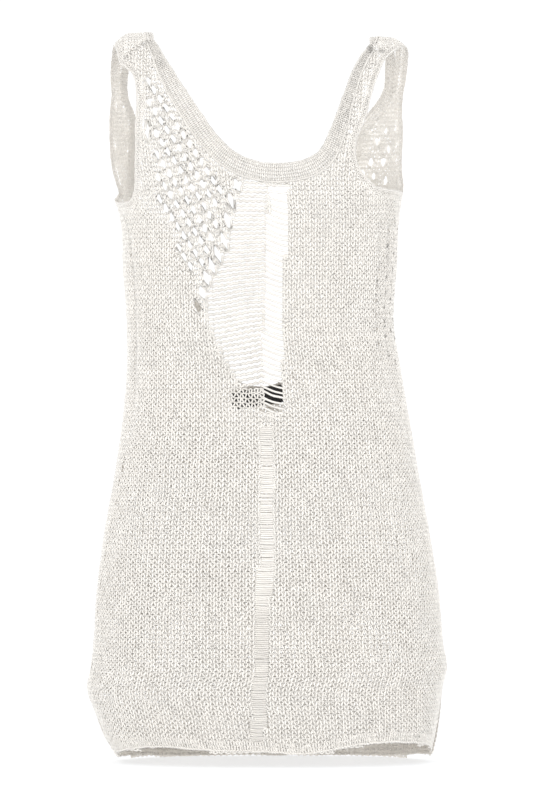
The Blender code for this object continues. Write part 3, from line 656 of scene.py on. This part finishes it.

# The left shoulder's seam, drawn as dots of painted shade: its ends on the front, as x and drop in mm, its
# width, its stitches, and how deep its painted shade is.
DRAWN_SEAM = ((-143, 30), (-117, 9))
DRAWN_SEAM_WIDTH = 2.1
DRAWN_SEAM_STITCH = 5.2
DRAWN_SEAM_SHADE = 7
SHADED_DEPTH = 0.03  # metres of y, behind which neither that seam's painted shade nor the creases' is drawn

# Painted shade of creases at the right shoulder: x, drop, half width and half height in mm.
CREASE_SHADOWS = ((107, 15.5, 2.2, 3), (110.5, 20, 2.2, 3), (121, 21, 3.6, 2.4))
STRIPES_SHADE = 1.3  # how much darker the yarn is in the striped stretch
BACK_HEM_PAINTED_LIGHT = 2.5  # painted light: how much lighter the back's knit is at its hem, against the front hem's shadow on its inside
BACK_HEM_DROPS = (728, 742)


def over_label(x, drop):
    """1 over the label, fading to 0 round it."""
    return window(x, *THIN_YARN[0], 3) * window(drop, *THIN_YARN[1], 3)


def thinned(points, run):
    """The share of its thickness that the yarn keeps."""
    x, drop = points[:, 0] / MM, column("drop", run) / MM
    here = over_label(x, drop) * (run < 0)
    return (1 - (1 - THIN_YARN[2]) * here) * (1 + STRAP_YARN * (1 - fade(drop, *STRAP_DROPS)))


def shaded(points, across, run):
    """How much painted shade darkens the yarn at the two drawn seams and the creases."""
    drop = column("drop", run) / MM
    angle = np.radians(seam_angle(-1, drop))
    middle = ACROSS * np.where(run < 0, angle, -math.pi - angle)
    away = (across - middle) * SIDE_RADIUS / ACROSS / SEAM_SHADE_WIDTH
    # Painted shade along the drawn-in left side seam.
    side = SEAM_SHADE * np.exp(-away**2) * window(drop, *SEAM_SHADE_DROPS, 25)
    start, end = np.array(DRAWN_SEAM)
    length = np.linalg.norm(end - start)
    heading = (end - start) / length
    off = np.stack([points[:, 0], -points[:, 2]], axis=-1) / MM - start
    far = off @ heading
    beside = off @ np.array([-heading[1], heading[0]])
    in_front = points[:, 1] < SHADED_DEPTH
    # Dots of painted shade along the left shoulder's seam, one to a stitch.
    dots = 0.55 + 0.45 * np.cos(2 * math.pi * far / DRAWN_SEAM_STITCH)
    seam = np.exp(-(beside / DRAWN_SEAM_WIDTH) ** 2) * window(far, 0, length, 2) * in_front
    # Painted shade in the creases at the right shoulder.
    for x, low, half_x, half_drop in CREASE_SHADOWS:
        spot = ((points[:, 0] / MM - x) / half_x) ** 2 + ((-points[:, 2] / MM - low) / half_drop) ** 2
        side = side + DRAWN_SEAM_SHADE * np.exp(-spot) * in_front
    return side + DRAWN_SEAM_SHADE * dots * seam


def yarn_piece(name, strand, arc, run, lift, radius):
    """Yarn through points given by arc, run and lift."""
    across = cloth.across(arc, run)
    points, normals = cloth.place(across, run, lift)
    order = np.arange(len(arc)) * POINT_STEP
    radii = radius * (1 + UNEVEN_YARN * thick_and_thin(order, strand * STRAND_STEP)) * thinned(points, run)
    # Random tone, less the painted shade at the seams and creases.
    tone = shade_noise(order * SHADE_STRETCH, strand * SHADE_STEP) - shaded(points, across, run)
    tone -= STRIPES_SHADE * stripes(points[:, 0] / MM, column("drop", run) / MM) * (run < 0)
    # Painted light lifts the back's lowest knit out of the front hem's shadow.
    tone += BACK_HEM_PAINTED_LIGHT * fade(column("drop", run) / MM, *BACK_HEM_DROPS) * (run > 0)
    return yarn_object(name, strand, points, normals, radii, np.stack([across, run], axis=-1), tone)


# ---------------------------------------------------------------- knitted panels

COURSE = 4.8 * MM
WALE = 6.2 * MM  # where the body has its mean girth
WALE_GIVE = 0.5  # how far the wales spread with the girth, the rest being added at the sides
LOOP_HEIGHT = 0.60  # of a course, half a loop
LOOP_WIDTH = 0.25  # of a wale
LOOP_DEPTH = 0.34 * MM
GAP_PASSES = 2
GAP_FADE = (0.85, 1.05)  # across a gap, in half widths, where the yarn stops moving aside
GAP_SOFT = 0.5 * MM
GAP_ROOM = (0.2, 1.15)  # how far the yarn's middle stays from a gap, beside it and above or below
MEAN_HALF = 0.158  # metres, half the body's mean width
MOST_WALES = 60  # on either side of the middle

# The striped stretch between the net and the ladder, where wide stitches lie almost flat: drop and
# the x of its left edge, in mm.
STRIPES_LEFT = ((150, -20), (165, -26), (185, -32), (205, -36), (225, -42), (245, -50), (270, -58),
                (290, -60), (316, -50), (340, -41), (358, -29), (372, -15))
STRIPES_RIGHT = 4
STRIPES_DROPS = (148, 372)
STRIPE_HEIGHT = 0.10  # of a course
STRIPE_WIDTH = 0.03  # of a wale
STRIPES_RISE = ((190, 0.0), (250, 0.10), (330, 0.20), (372, 0.22))  # slope of the courses by drop
LADDER_TOP_DROP = 158
LADDER_END_DROP = 392


def girth_step(run):
    """The width of a wale at a run."""
    half = column("half", run)
    return WALE * (1 + WALE_GIVE * (half / MEAN_HALF - 1))


def ladder_side(drop, side):
    """x in mm of the ladder's left or right wale."""
    table = LADDER_LEFT if side < 0 else LADDER_RIGHT
    return np.interp(drop, LADDER_DROPS, table)


def stripes(x, drop):
    """1 within the striped stretch, fading to 0 round it."""
    left = np.interp(drop, *zip(*STRIPES_LEFT))
    return (fade(x, left - 1, left + 6) * (1 - fade(x, STRIPES_RIGHT - 1, STRIPES_RIGHT + 3))
            * window(drop, *STRIPES_DROPS, 10))


def gap_rows(gaps, face):
    """Gaps given as corners in pattern points, as rows of arc, depth, half width, half height and lean."""
    rows = []
    for corners in gaps:
        middle = corners.mean(axis=0)
        arc, run = cloth.arc(corners[:, 0], corners[:, 1]), corners[:, 1] * face
        centre = np.array([arc.mean(), run.mean()])
        top, bottom = np.array([arc[0], run[0]]), np.array([arc[3], run[3]])
        axis = (bottom - top) * np.sign(run[3] - run[0])
        lean = math.atan2(axis[0], axis[1])
        wide = np.array([arc[1] - arc[5], run[1] - run[5]])
        rows.append((*centre, 0.5 * np.linalg.norm(wide), 0.5 * np.linalg.norm(axis), lean))
    return np.array(rows)


def open_gaps(arc, depth, course_depth, gaps):
    """Moves the yarn of each course above or below the gaps that it would cross."""
    for gap_arc, gap_depth, half_width, half_height, lean in np.tile(gaps, (GAP_PASSES, 1)):
        wide, high = half_width + GAP_ROOM[0] * YARN, half_height + GAP_ROOM[1] * YARN
        by_arc = np.abs(arc - gap_arc) < 1.7 * wide + high * 0.4
        by_depth = np.abs(depth - gap_depth) < 3 * high + 6 * MM
        near = np.nonzero(by_arc & by_depth)[0]
        if not len(near):
            continue
        off_arc, off_depth = arc[near] - gap_arc, depth[near] - gap_depth
        cos, sin = math.cos(lean), math.sin(lean)
        u = off_arc * cos - off_depth * sin
        v = off_arc * sin + off_depth * cos
        side = np.where(course_depth[near] > gap_depth, 1.0, -1.0)
        edge = high * np.sqrt(np.clip(1 - (u / wide) ** 2, 0.12, 1))
        pushed = side * (edge + GAP_SOFT * np.logaddexp(0, (v * side - edge) / GAP_SOFT))
        share = 1 - fade(np.abs(u), GAP_FADE[0] * wide, GAP_FADE[1] * wide)
        v = v + (pushed - v) * share
        arc[near] = gap_arc + u * cos + v * sin
        depth[near] = gap_depth - u * sin + v * cos
    return arc, depth


def panel_stitches(outline, face, skip):
    """Rows of (course, wale, arc of its left side, depth, wale width) for every stitch of a panel."""
    depth_range = outline[:, 1] * face
    rows = []
    for course, depth in enumerate(np.arange(depth_range.min() + 0.2 * COURSE, depth_range.max(), COURSE)):
        run = face * depth
        step = float(girth_step(run))
        wales = np.arange(-MOST_WALES, MOST_WALES)
        arc = (wales + 0.5) * step
        across = cloth.across(arc, np.full(len(arc), run))
        rows.append(np.stack([np.full(len(arc), course), wales, wales * step, np.full(len(arc), depth),
                              np.full(len(arc), step), across], axis=-1))
    rows = np.concatenate(rows)
    middles = np.stack([rows[:, 5], rows[:, 3] * face], axis=-1)
    kept = inside(middles, [outline]) & ~skip(middles)
    return rows[kept, :5]


def stitch_yarn(rows, face, gaps, form):
    """The yarn's path through stitches: strand, arc, run and lift of its points."""
    course, wale, left, depth, step = rows.T
    new_strand = np.concatenate([[True], (np.diff(course) != 0) | (np.diff(wale) != 1)])
    last = np.concatenate([new_strand[1:], [True]])
    turn = 2 * math.pi * PER_LOOP[None]
    rise, height, width = form(left + 0.5 * step, depth)
    arc = left[:, None] + step[:, None] * (PER_LOOP[None] + width[:, None] * np.sin(2 * turn))
    down = (depth - rise)[:, None] + COURSE * height[:, None] * np.cos(turn)
    lift = -LOOP_DEPTH * np.cos(2 * turn) * (0.4 + 0.6 * height / LOOP_HEIGHT)[:, None]
    keep = np.ones(arc.shape, bool)
    keep[:, -1] = last
    strand = np.repeat(np.cumsum(new_strand)[:, None], SAMPLES + 1, axis=1)[keep]
    course_depth = np.repeat(depth[:, None], SAMPLES + 1, axis=1)[keep]
    arc, down, lift = arc[keep], down[keep], lift[keep]
    calm = (0.2 + 0.8 * np.repeat(height[:, None] / LOOP_HEIGHT, SAMPLES + 1, axis=1))[keep]
    arc = arc + WANDER * wander_across(arc, down) + SLOW_WANDER[0] * slow_wander(arc, down)
    down = down + WANDER * calm * wander_down(arc, down) + SLOW_WANDER[1] * slow_wander(arc + 0.3, down)
    uneven = strand * COURSE_STEP
    arc, down = (arc + STITCH_WANDER * calm * quick_across(arc, down + uneven),
                 down + STITCH_WANDER * calm * quick_down(arc, down + uneven))
    arc, down = open_gaps(arc, down, course_depth, gaps)
    lift = lift + LIFT_WANDER * wander_down(arc + 0.5, down)
    return strand, arc, face * down, lift


# ---------------------------------------------------------------- pieces

curves = edge_curves()


def front_form(arc, depth):
    """How far the front's stitches rise, their loop height and loop width."""
    x = cloth_x(arc, depth, FRONT)
    drop = column("drop", depth) / MM
    flat = stripes(x, drop)
    left = np.interp(drop, *zip(*STRIPES_LEFT))
    slope = np.interp(drop, *zip(*STRIPES_RISE))
    rise = slope * np.clip(x - left, 0, STRIPES_RIGHT - left) * flat * MM
    height = LOOP_HEIGHT + (STRIPE_HEIGHT - LOOP_HEIGHT) * flat
    width = LOOP_WIDTH + (STRIPE_WIDTH - LOOP_WIDTH) * flat
    return rise, height, width


def plain_form(arc, depth):
    """The same for the plain knit of the back."""
    return arc * 0, np.full(len(arc), LOOP_HEIGHT), np.full(len(arc), LOOP_WIDTH)


def cloth_x(arc, depth, face):
    """x in mm of places on the cloth."""
    run = face * depth
    return cloth.place(cloth.across(arc, run), run, arc * 0)[0][:, 0] / MM


# Below the ladder the same column is dropped too: drop, x of its middle and half width, in mm.
FLOATS = ((404, 5.0, 8.5), (430, 3.6, 10.5), (540, 3.6, 10.5), (580, 0, 9.5), (640, -3, 9), (728, -5, 9))
FLOAT_STEP = 2.05  # mm from one float to the next
FLOAT_YARN = 1.5 * MM
FLOAT_SLACK = (0.2, 1.2)  # mm, the least and the most that one hangs
FLOAT_UNEVEN = 0.25  # mm
FLOAT_TONES = ((404, -1.2), (440, -0.2), (555, -0.2), (600, -1.8))  # their tone by drop
GAP_FLOAT_YARN = 0.9 * MM  # in the low ladder's gaps
# Painted light: how much lighter the floats in the low ladder's gaps are, where light shows through.
GAP_FLOAT_PAINTED_LIGHT = 2.0


def floats_at(drop):
    """Middle and half width of the lower dropped column, in mm."""
    drops, middles, halves = zip(*FLOATS)
    return np.interp(drop, drops, middles), np.interp(drop, drops, halves)


def dropped(middles):
    """Which stitches of the front are dropped, in the ladder or the column below it."""
    x = cloth.place(middles[:, 0], middles[:, 1], middles[:, 0] * 0)[0][:, 0] / MM
    drop = column("drop", middles[:, 1]) / MM
    between = (x > ladder_side(drop, -1) - 0.5) & (x < ladder_side(drop, 1) + 0.5)
    ladder = between & (drop > LADDER_TOP_DROP) & (drop < LADDER_END_DROP)
    middle, half = floats_at(drop)
    return ladder | (np.abs(x - middle) < half - 2) & (drop > FLOATS[0][0]) & (drop < FLOATS[-1][0])


def no_stitch(middles):
    """The back has none dropped."""
    return np.zeros(len(middles), bool)


PANEL_YARN = {FRONT: YARN, BACK: 1.52 * MM}
INLAY_YARN = 0.85 * MM
INLAY_LIFT = {FRONT: -0.9 * MM, BACK: 0.3 * MM}
INLAY_DROPS = {FRONT: (345, 999), BACK: (200, 690)}  # two to a wale above the first and below the second
INLAY_BETWEEN = {FRONT: True, BACK: False}  # one to a wale between them
INLAY_ROOM = (2.4 * MM, 3.2 * MM)  # from a gap's edge to the middle of the yarn, beside and above
INLAY_LEAST = 3  # stitches: no shorter piece is laid in


def add_inlay(name, rows, face, gaps):
    """Yarn laid in behind the stitches, along the wales, where the knit is closest."""
    rows = rows[np.lexsort((rows[:, 0], rows[:, 1]))]
    course, wale, left, depth, step = rows.T
    middle = left + 0.5 * step
    drop = column("drop", face * depth) / MM
    above, below = INLAY_DROPS[face]
    close = (drop < above) | (drop > below)
    kept = close | INLAY_BETWEEN[face]
    if face == FRONT:
        x = cloth_x(middle, depth, face)
        kept &= np.maximum(over_label(x, drop), stripes(x, drop)) < 0.02
    for gap_arc, gap_depth, half_width, half_height, _ in gaps:
        by_arc = (middle - gap_arc) / (half_width + INLAY_ROOM[0])
        by_depth = (depth - gap_depth) / (half_height + INLAY_ROOM[1])
        kept &= by_arc**2 + by_depth**2 > 1
    strands, arcs, depths = [], [], []
    for chosen, across_wale in ((kept, 0.5), (kept & close, 0.0)):
        course, wale, left, depth, step = rows[chosen].T
        strand = np.cumsum((np.diff(course, prepend=-9) != 1) | (np.diff(wale, prepend=-99) != 0))
        long = np.bincount(strand)[strand] > INLAY_LEAST
        strands.append(strand[long] + 1e4 * across_wale)
        arcs.append((left + across_wale * step)[long])
        depths.append(depth[long])
    strand, arc, depth = (np.concatenate(parts) for parts in (strands, arcs, depths))
    arc = arc + SLOW_WANDER[0] * slow_wander(arc, depth)
    return yarn_piece(name, strand, arc, face * depth, np.full(len(arc), INLAY_LIFT[face]), INLAY_YARN)


def flat_cut(rows):
    """The width, length and area of a stretch of knit laid flat, counted from its stitches."""
    width = np.bincount(rows[:, 0].astype(int), weights=rows[:, 4])
    width = width[width > 0]
    return float(width.max()), len(width) * COURSE, float(width.sum() * COURSE)


def add_knit(label, face, gaps, skip, form, shares):
    """A panel's knit in pieces, from its top to its hem, and their flat cuts."""
    outline = panel_outline(curves, face)
    gaps = gap_rows(clear_gaps(gaps, outline), face)
    rows = panel_stitches(outline, face, skip)
    courses = rows[:, 0].max() + 1
    pieces = []
    for n, (start, end) in enumerate(zip(shares, shares[1:])):
        part = rows[(rows[:, 0] >= round(start * courses)) & (rows[:, 0] < round(end * courses))]
        strand, arc, run, lift = stitch_yarn(part, face, gaps, form)
        piece = yarn_piece(f"{label}_knit_{n + 1}", strand, arc, run, lift, PANEL_YARN[face])
        pieces.append((piece, flat_cut(part)))
    return pieces, add_inlay(f"{label}_inlay", rows, face, gaps)


PLIES = 2  # of a cord
STRAND_JITTER = 0.35 * MM
UNEVEN_STRAND = 0.18  # how far the thickness of a band's or a thread's yarn varies


def lengths(line):
    """The length from a line's first pattern point to each of them, on the cloth."""
    places = cloth.place(*line.T, 0.0 * line[:, 0])[0]
    return np.concatenate([[0], np.cumsum(np.linalg.norm(np.diff(places, axis=0), axis=1))])


def read_line(at, length, line):
    """The pattern points at these lengths of a line."""
    return np.stack([np.interp(at, length, line[:, k]) for k in (0, 1)], axis=-1)


def band_yarn(edge, inner, rows, wale, height=LOOP_HEIGHT, width=LOOP_WIDTH, depth=LOOP_DEPTH):
    """Across, run and lift of yarn that runs along a band between two edges, rows wide."""
    edge, inner = np.asarray(edge), np.asarray(inner)
    length = lengths(0.5 * (edge + inner))
    count = max(3, round(length[-1] / wale))
    turn = np.arange(count * SAMPLES + 1) * 2 * math.pi / SAMPLES
    found = []
    for row in range(rows):
        share = (turn / (2 * math.pi) + width * np.sin(2 * turn)) / count
        over = (row + 0.5 + height * np.cos(turn)) / rows
        at = np.clip(share, 0, 1) * length[-1]
        outer_place, inner_place = (read_line(at, length, line) for line in (edge, inner))
        place = outer_place + (inner_place - outer_place) * over[:, None]
        found.append((place[:, 0], place[:, 1], -depth * np.cos(2 * turn)))
    return found


def cord_yarn(line, spacing, turns_per_m, radius, lift=0.0):
    """Plies of yarn twisted round a line of pattern points."""
    line = np.asarray(line)
    length = lengths(line)
    at = np.linspace(0, length[-1], max(4, int(length[-1] / spacing)))
    place = read_line(at, length, line)
    heading = np.gradient(place, axis=0)
    heading /= np.linalg.norm(heading, axis=1, keepdims=True) + 1e-12
    beside = np.stack([-heading[:, 1], heading[:, 0]], axis=-1)
    found = []
    for ply in range(PLIES):
        phase = 2 * math.pi * (at * turns_per_m + ply / PLIES)
        moved = place + beside * (radius * np.cos(phase))[:, None]
        found.append((moved[:, 0], moved[:, 1], lift + radius * np.sin(phase)))
    return found


def from_strands(name, strands, radius, jitter=STRAND_JITTER, tone=0.0):
    """A piece from strands, each the across, run and lift of its points."""
    across, run, lift = (np.concatenate(parts) for parts in zip(*strands))
    strand = np.concatenate([np.full(len(s[0]), n) for n, s in enumerate(strands)])
    across = across + jitter * wander_across(across * 1.07, run) * 1.1
    run = run + jitter * wander_down(across, run)
    points, normals = cloth.place(across, run, lift)
    order = np.arange(len(across)) * POINT_STEP
    uneven = 1 + UNEVEN_STRAND * thick_and_thin(order, strand * 29 * MM)
    radii = np.broadcast_to(radius, len(across)) * uneven
    # Random tone, less the painted shade at the seams and creases.
    tone = tone + shade_noise(order * SHADE_STRETCH, strand * 13 * MM) - shaded(points, across, run)
    return yarn_object(name, strand, points, normals, radii, np.stack([across, run], axis=-1), tone)


BAND_ROWS = {"neck_front": 5, "neck_back": 3, "arm": 2}
BAND_WALE = 4.3 * MM
BAND_TONE = -1.1
BAND_YARN = 1.38 * MM
EDGE_CORD = 0.55 * MM  # half the thickness of its twist
OUTER_TWIST, INNER_TWIST = 260, 200  # turns a metre
CORD_STEP = 1.6 * MM


def add_bands():
    """The ribbed neckbands and armbands, with corded edges."""
    inner = band_edges(curves, 0.0)
    pieces = {}
    for name in ("neck_front", "neck_back"):
        strands = band_yarn(curves[name], inner[name], BAND_ROWS[name], BAND_WALE, width=0.2)
        strands += cord_yarn(curves[name], CORD_STEP, OUTER_TWIST, EDGE_CORD)
        strands += cord_yarn(inner[name], CORD_STEP, INNER_TWIST, EDGE_CORD, lift=0.5 * MM)
        label = name.replace("neck", "neckband") + "_knit"
        pieces[name] = from_strands(label, strands, BAND_YARN, tone=BAND_TONE)
    for side, place in ((-1, "left"), (1, "right")):
        strands = []
        for half in ("arm_front", "arm_back"):
            strands += band_yarn(curves[half, side], inner[half, side], BAND_ROWS["arm"], BAND_WALE)
            strands += cord_yarn(curves[half, side], CORD_STEP, OUTER_TWIST, EDGE_CORD)
        pieces[place] = from_strands(f"armband_{place}_knit", strands, BAND_YARN)
    return pieces


THREAD_POINTS = 13  # along each hanging thread
RUNG_STEP = 5.3  # mm from one thread of the ladder to the next
RUNG_UNEVEN = 0.8  # mm
RUNG_YARN = 1.3 * MM
RUNG_HELD = 3.5  # mm of each end within the wale beside it
RUNG_SETTLES = 22  # mm below the ladder's top, where the threads hang by their full sag


def add_ladder():
    """The threads of the dropped stitches, hanging between the two wales beside them."""
    rungs = []
    t = np.linspace(0, 1, THREAD_POINTS)
    rng = np.random.default_rng(3)
    for drop in np.arange(LADDER_TOP_DROP + 3, LADDER_END_DROP - 1, RUNG_STEP):
        left = ladder_side(drop, -1) - RUNG_HELD
        right = ladder_side(drop, 1) + RUNG_HELD
        x = left + (right - left) * t
        uneven = rng.uniform(-RUNG_UNEVEN, RUNG_UNEVEN)
        settled = fade(drop, LADDER_TOP_DROP, LADDER_TOP_DROP + RUNG_SETTLES)
        sag = LADDER_SAG * settled * (t + 0.16 * np.sin(math.pi * t)) + uneven
        pattern = from_drop(np.stack([x, drop + sag], axis=-1), FRONT)
        rungs.append((pattern[:, 0], pattern[:, 1], t * 0))
    return from_strands("ladder_threads", rungs, RUNG_YARN)


def add_floats():
    """The floats of the lower dropped column, thinner where its gaps are, with painted light there."""
    floats, radii, tones = [], [], []
    t = np.linspace(-1, 1, THREAD_POINTS)
    rng = np.random.default_rng(4)
    missing = np.linspace(*LOW_LADDER)
    for drop in np.arange(FLOATS[0][0], FLOATS[-1][0], FLOAT_STEP):
        slack = rng.uniform(*FLOAT_SLACK)
        open_here = np.abs(missing - drop).min() < 0.62 * FLOAT_STEP
        radii.append(np.full(len(t), GAP_FLOAT_YARN if open_here else FLOAT_YARN))
        tone = GAP_FLOAT_PAINTED_LIGHT if open_here else np.interp(drop, *zip(*FLOAT_TONES))
        tones.append(np.full(len(t), tone))
        middle, half = floats_at(drop)
        down = drop + slack * (1 - t**2) + rng.uniform(-FLOAT_UNEVEN, FLOAT_UNEVEN)
        place = np.stack([middle + half * t, down], axis=-1)
        pattern = from_drop(place, FRONT)
        floats.append((pattern[:, 0], pattern[:, 1], -0.5 * MM * t**2))
    return from_strands("front_floats", floats, np.concatenate(radii), 0.3 * MM, np.concatenate(tones))


HEM_COURSES = 2
HEM_WALE = 5.4 * MM
HEM_HEIGHT = 9.5 * MM
HEM_STEPS = 90


def add_hems():
    """The ribbed edges of both hems, in two rows of thicker yarn and a cord."""
    pieces = []
    for face, label, table in ((FRONT, "front", FRONT_HEM), (BACK, "back", BACK_HEM)):
        line = np.array(hem(table, face, HEM_STEPS)) - (0, face * 0.9 * MM)
        top = line - (0, face * HEM_HEIGHT)
        strands = band_yarn(top, line, HEM_COURSES, HEM_WALE, height=0.62, width=0.17, depth=1.0 * MM)
        strands += cord_yarn(line, 1.7 * MM, 165, 0.7 * MM, lift=0.2 * MM)
        pieces.append(from_strands(f"{label}_hem_roll", strands, BAND_YARN, 0.6 * MM))
    return pieces


# ---------------------------------------------------------------- materials

YARN_LOOK = {"Roughness": 0.85, "Specular IOR Level": 0.25, "Sheen Weight": 0.35, "Sheen Roughness": 0.6,
             "Subsurface Weight": 0.35, "Subsurface Radius": (1, 1, 1), "Subsurface Scale": 0.002}
ECRU = {6: (0.905, 0.87, 0.815, 1), 7: (0.905, 0.855, 0.785, 1)}  # two tints, mixed in wide patches
FIBRES = {"Scale": 900, "Detail": 3}
PATCHES = {"Scale": 14, "Detail": 2}
TONES = {"From Min": -6, "From Max": 2, "To Min": 0.44, "To Max": 1.08}
YARN_BUMP = {"Strength": 0.5, "Distance": 0.0003}
TAPE_LOOK = {"Base Color": (0.012, 0.012, 0.013, 1), "Roughness": 0.6}
TAPE_WEAVE = {"Scale": 420, "Distortion": 0.6}
TAPE_BUMP = {"Strength": 0.4, "Distance": 0.0002}
FLOOR_LOOK = {"Base Color": (0.41, 0.42, 0.435, 1), "Roughness": 0.9, "Specular IOR Level": 0.0,
              "Emission Color": (1, 1, 1, 1), "Emission Strength": 0.62}


def put(node, values):
    """Sets values on a node's own sockets."""
    for socket, value in values.items():
        node.inputs[socket].default_value = value
    return node


def new_material(name, look):
    """A material, its nodes, its links and its shader."""
    material = bpy.data.materials.new(name)
    material.use_nodes = True
    nodes = material.node_tree.nodes
    return material, nodes, material.node_tree.links, put(nodes["Principled BSDF"], look)


def texture(nodes, links, kind, values):
    """A texture in the object's own coordinates."""
    place = nodes.new("ShaderNodeTexCoord")
    found = put(nodes.new(kind), values)
    links.new(place.outputs["Object"], found.inputs["Vector"])
    return found


def add_bump(nodes, links, shader, height, values):
    bump = put(nodes.new("ShaderNodeBump"), values)
    links.new(height.outputs["Fac"], bump.inputs["Height"])
    links.new(bump.outputs["Normal"], shader.inputs["Normal"])


def yarn_material():
    """Ecru yarn: fibres, wide patches of tint, and each piece's own tone, which also holds painted shade at
    the seams and creases and painted light low on the back and in the floats' gaps.
    """
    material, nodes, links, shader = new_material("ecru_yarn", YARN_LOOK)
    fibre = texture(nodes, links, "ShaderNodeTexNoise", FIBRES)
    patches = texture(nodes, links, "ShaderNodeTexNoise", PATCHES)
    tone = nodes.new("ShaderNodeAttribute")
    tone.attribute_name = "tone"
    base = nodes.new("ShaderNodeMix")
    base.data_type = "RGBA"
    put(base, ECRU)
    links.new(patches.outputs["Fac"], base.inputs[0])
    slub = put(nodes.new("ShaderNodeMapRange"), TONES)
    links.new(tone.outputs["Fac"], slub.inputs["Value"])
    darker = nodes.new("ShaderNodeMix")
    darker.data_type = "RGBA"
    darker.blend_type = "MULTIPLY"
    darker.inputs[0].default_value = 1
    links.new(base.outputs[2], darker.inputs[6])
    links.new(slub.outputs["Result"], darker.inputs[7])
    links.new(darker.outputs[2], shader.inputs["Base Color"])
    add_bump(nodes, links, shader, fibre, YARN_BUMP)
    return material


def label_material():
    """Plain black woven tape."""
    material, nodes, links, shader = new_material("black_tape", TAPE_LOOK)
    weave = texture(nodes, links, "ShaderNodeTexWave", TAPE_WEAVE)
    add_bump(nodes, links, shader, weave, TAPE_BUMP)
    return material


# ---------------------------------------------------------------- stage

FLOOR_DROP = 0.0008  # below the hem
FLOOR_HALF = 20  # metres
FLOOR_CORNERS = ((-1, -1), (1, -1), (1, 1), (-1, 1))
SKY = {"Color": (1, 1, 1, 1), "Strength": 1.10}
Lamp = namedtuple("Lamp", "name place size power")
LAMPS = (Lamp("key", (-1.2, -3.2, 0.9), 1.8, 24), Lamp("fill", (0.6, -3.5, -0.6), 1.2, 32),
         Lamp("back", (0.7, 3.4, 0.2), 1.8, 14))
PIXEL = 1.03 * MM  # the photograph's pixel at the middle plane of the vest
PICTURE_HEIGHT = 800  # pixels
VIEW_MIDDLE = (0.0036, -0.378)
CAMERA_AWAY = 6.0
SENSOR = 24.0


def add_floor():
    floor_z = cad_box[0][2] - FLOOR_DROP
    corners = [(FLOOR_HALF * x, FLOOR_HALF * y, floor_z) for x, y in FLOOR_CORNERS]
    mesh = bpy.data.meshes.new("floor")
    mesh.from_pydata(corners, [], [(0, 1, 2, 3)])
    mesh.materials.append(new_material("white_floor", FLOOR_LOOK)[0])
    floor = bpy.data.objects.new("floor", mesh)
    bpy.context.scene.collection.objects.link(floor)


def add_light():
    """A white room round the vest, and three lamps turned to its middle."""
    scene = bpy.context.scene
    scene.world = bpy.data.worlds.new("studio")
    scene.world.use_nodes = True
    put(scene.world.node_tree.nodes["Background"], SKY)
    for name, place, size, power in LAMPS:
        light = bpy.data.lights.new(name, "AREA")
        light.size = size
        light.energy = power
        lamp = bpy.data.objects.new(name, light)
        lamp.location = place
        towards = Vector((0, 0, VIEW_MIDDLE[1])) - lamp.location
        lamp.rotation_euler = towards.to_track_quat("-Z", "Y").to_euler()
        scene.collection.objects.link(lamp)


def add_camera():
    """A level camera, far away, whose picture has the photograph's scale."""
    scene = bpy.context.scene
    data = bpy.data.cameras.new("camera")
    data.sensor_fit = "VERTICAL"
    data.sensor_height = SENSOR
    data.lens = SENSOR * CAMERA_AWAY / (PICTURE_HEIGHT * PIXEL)
    camera = bpy.data.objects.new("camera", data)
    camera.location = (VIEW_MIDDLE[0], -CAMERA_AWAY, VIEW_MIDDLE[1])
    camera.rotation_euler = (math.pi / 2, 0, 0)
    scene.collection.objects.link(camera)
    scene.camera = camera


# ---------------------------------------------------------------- everything together

SIDE_NET_SHARE = 0.62  # how far the yarn leaves the side net's gaps open
FRONT_SHARES = (0, 0.42, 0.71, 1)  # of a panel's rows, where its pieces meet
BACK_SHARES = (0, 0.58, 0.80, 1)
front_gaps = [*net_gaps(), *(hexagon(gap) for gap in NET_BORDER), hexagon(STRAP_SLIT), hexagon(LADDER_TOP)]
front_gaps = [from_drop(gap, FRONT) for gap in front_gaps]
front_gaps += [gap.mean(axis=0) + SIDE_NET_SHARE * (gap - gap.mean(axis=0)) for gap in side_net_gaps()]
back_gaps = [from_drop(hexagon(gap), BACK) for gap in BACK_NET]

front, front_inlay = add_knit("front", FRONT, front_gaps, dropped, front_form, FRONT_SHARES)
back, back_inlay = add_knit("back", BACK, back_gaps, no_stitch, plain_form, BACK_SHARES)
bands = add_bands()
ladder = add_ladder()
floats = add_floats()
hems = add_hems()

yarn = yarn_material()
front_pieces, back_pieces = ([piece for piece, cut in panel] for panel in (front, back))
knitted = [*front_pieces, *back_pieces, front_inlay, back_inlay, *bands.values(), ladder, floats, *hems]
for piece in knitted:
    piece.data.materials.append(yarn)
    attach(piece, "root")
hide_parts("front_panel")
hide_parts("back_panel")
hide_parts("neckband_front")
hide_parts("neckband_back")
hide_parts("armband_left")
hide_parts("armband_right")
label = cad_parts["label"]
label.data.materials.clear()
label.data.materials.append(label_material())
bpy.context.scene.view_settings.view_transform = "Standard"
add_floor()
add_light()
add_camera()
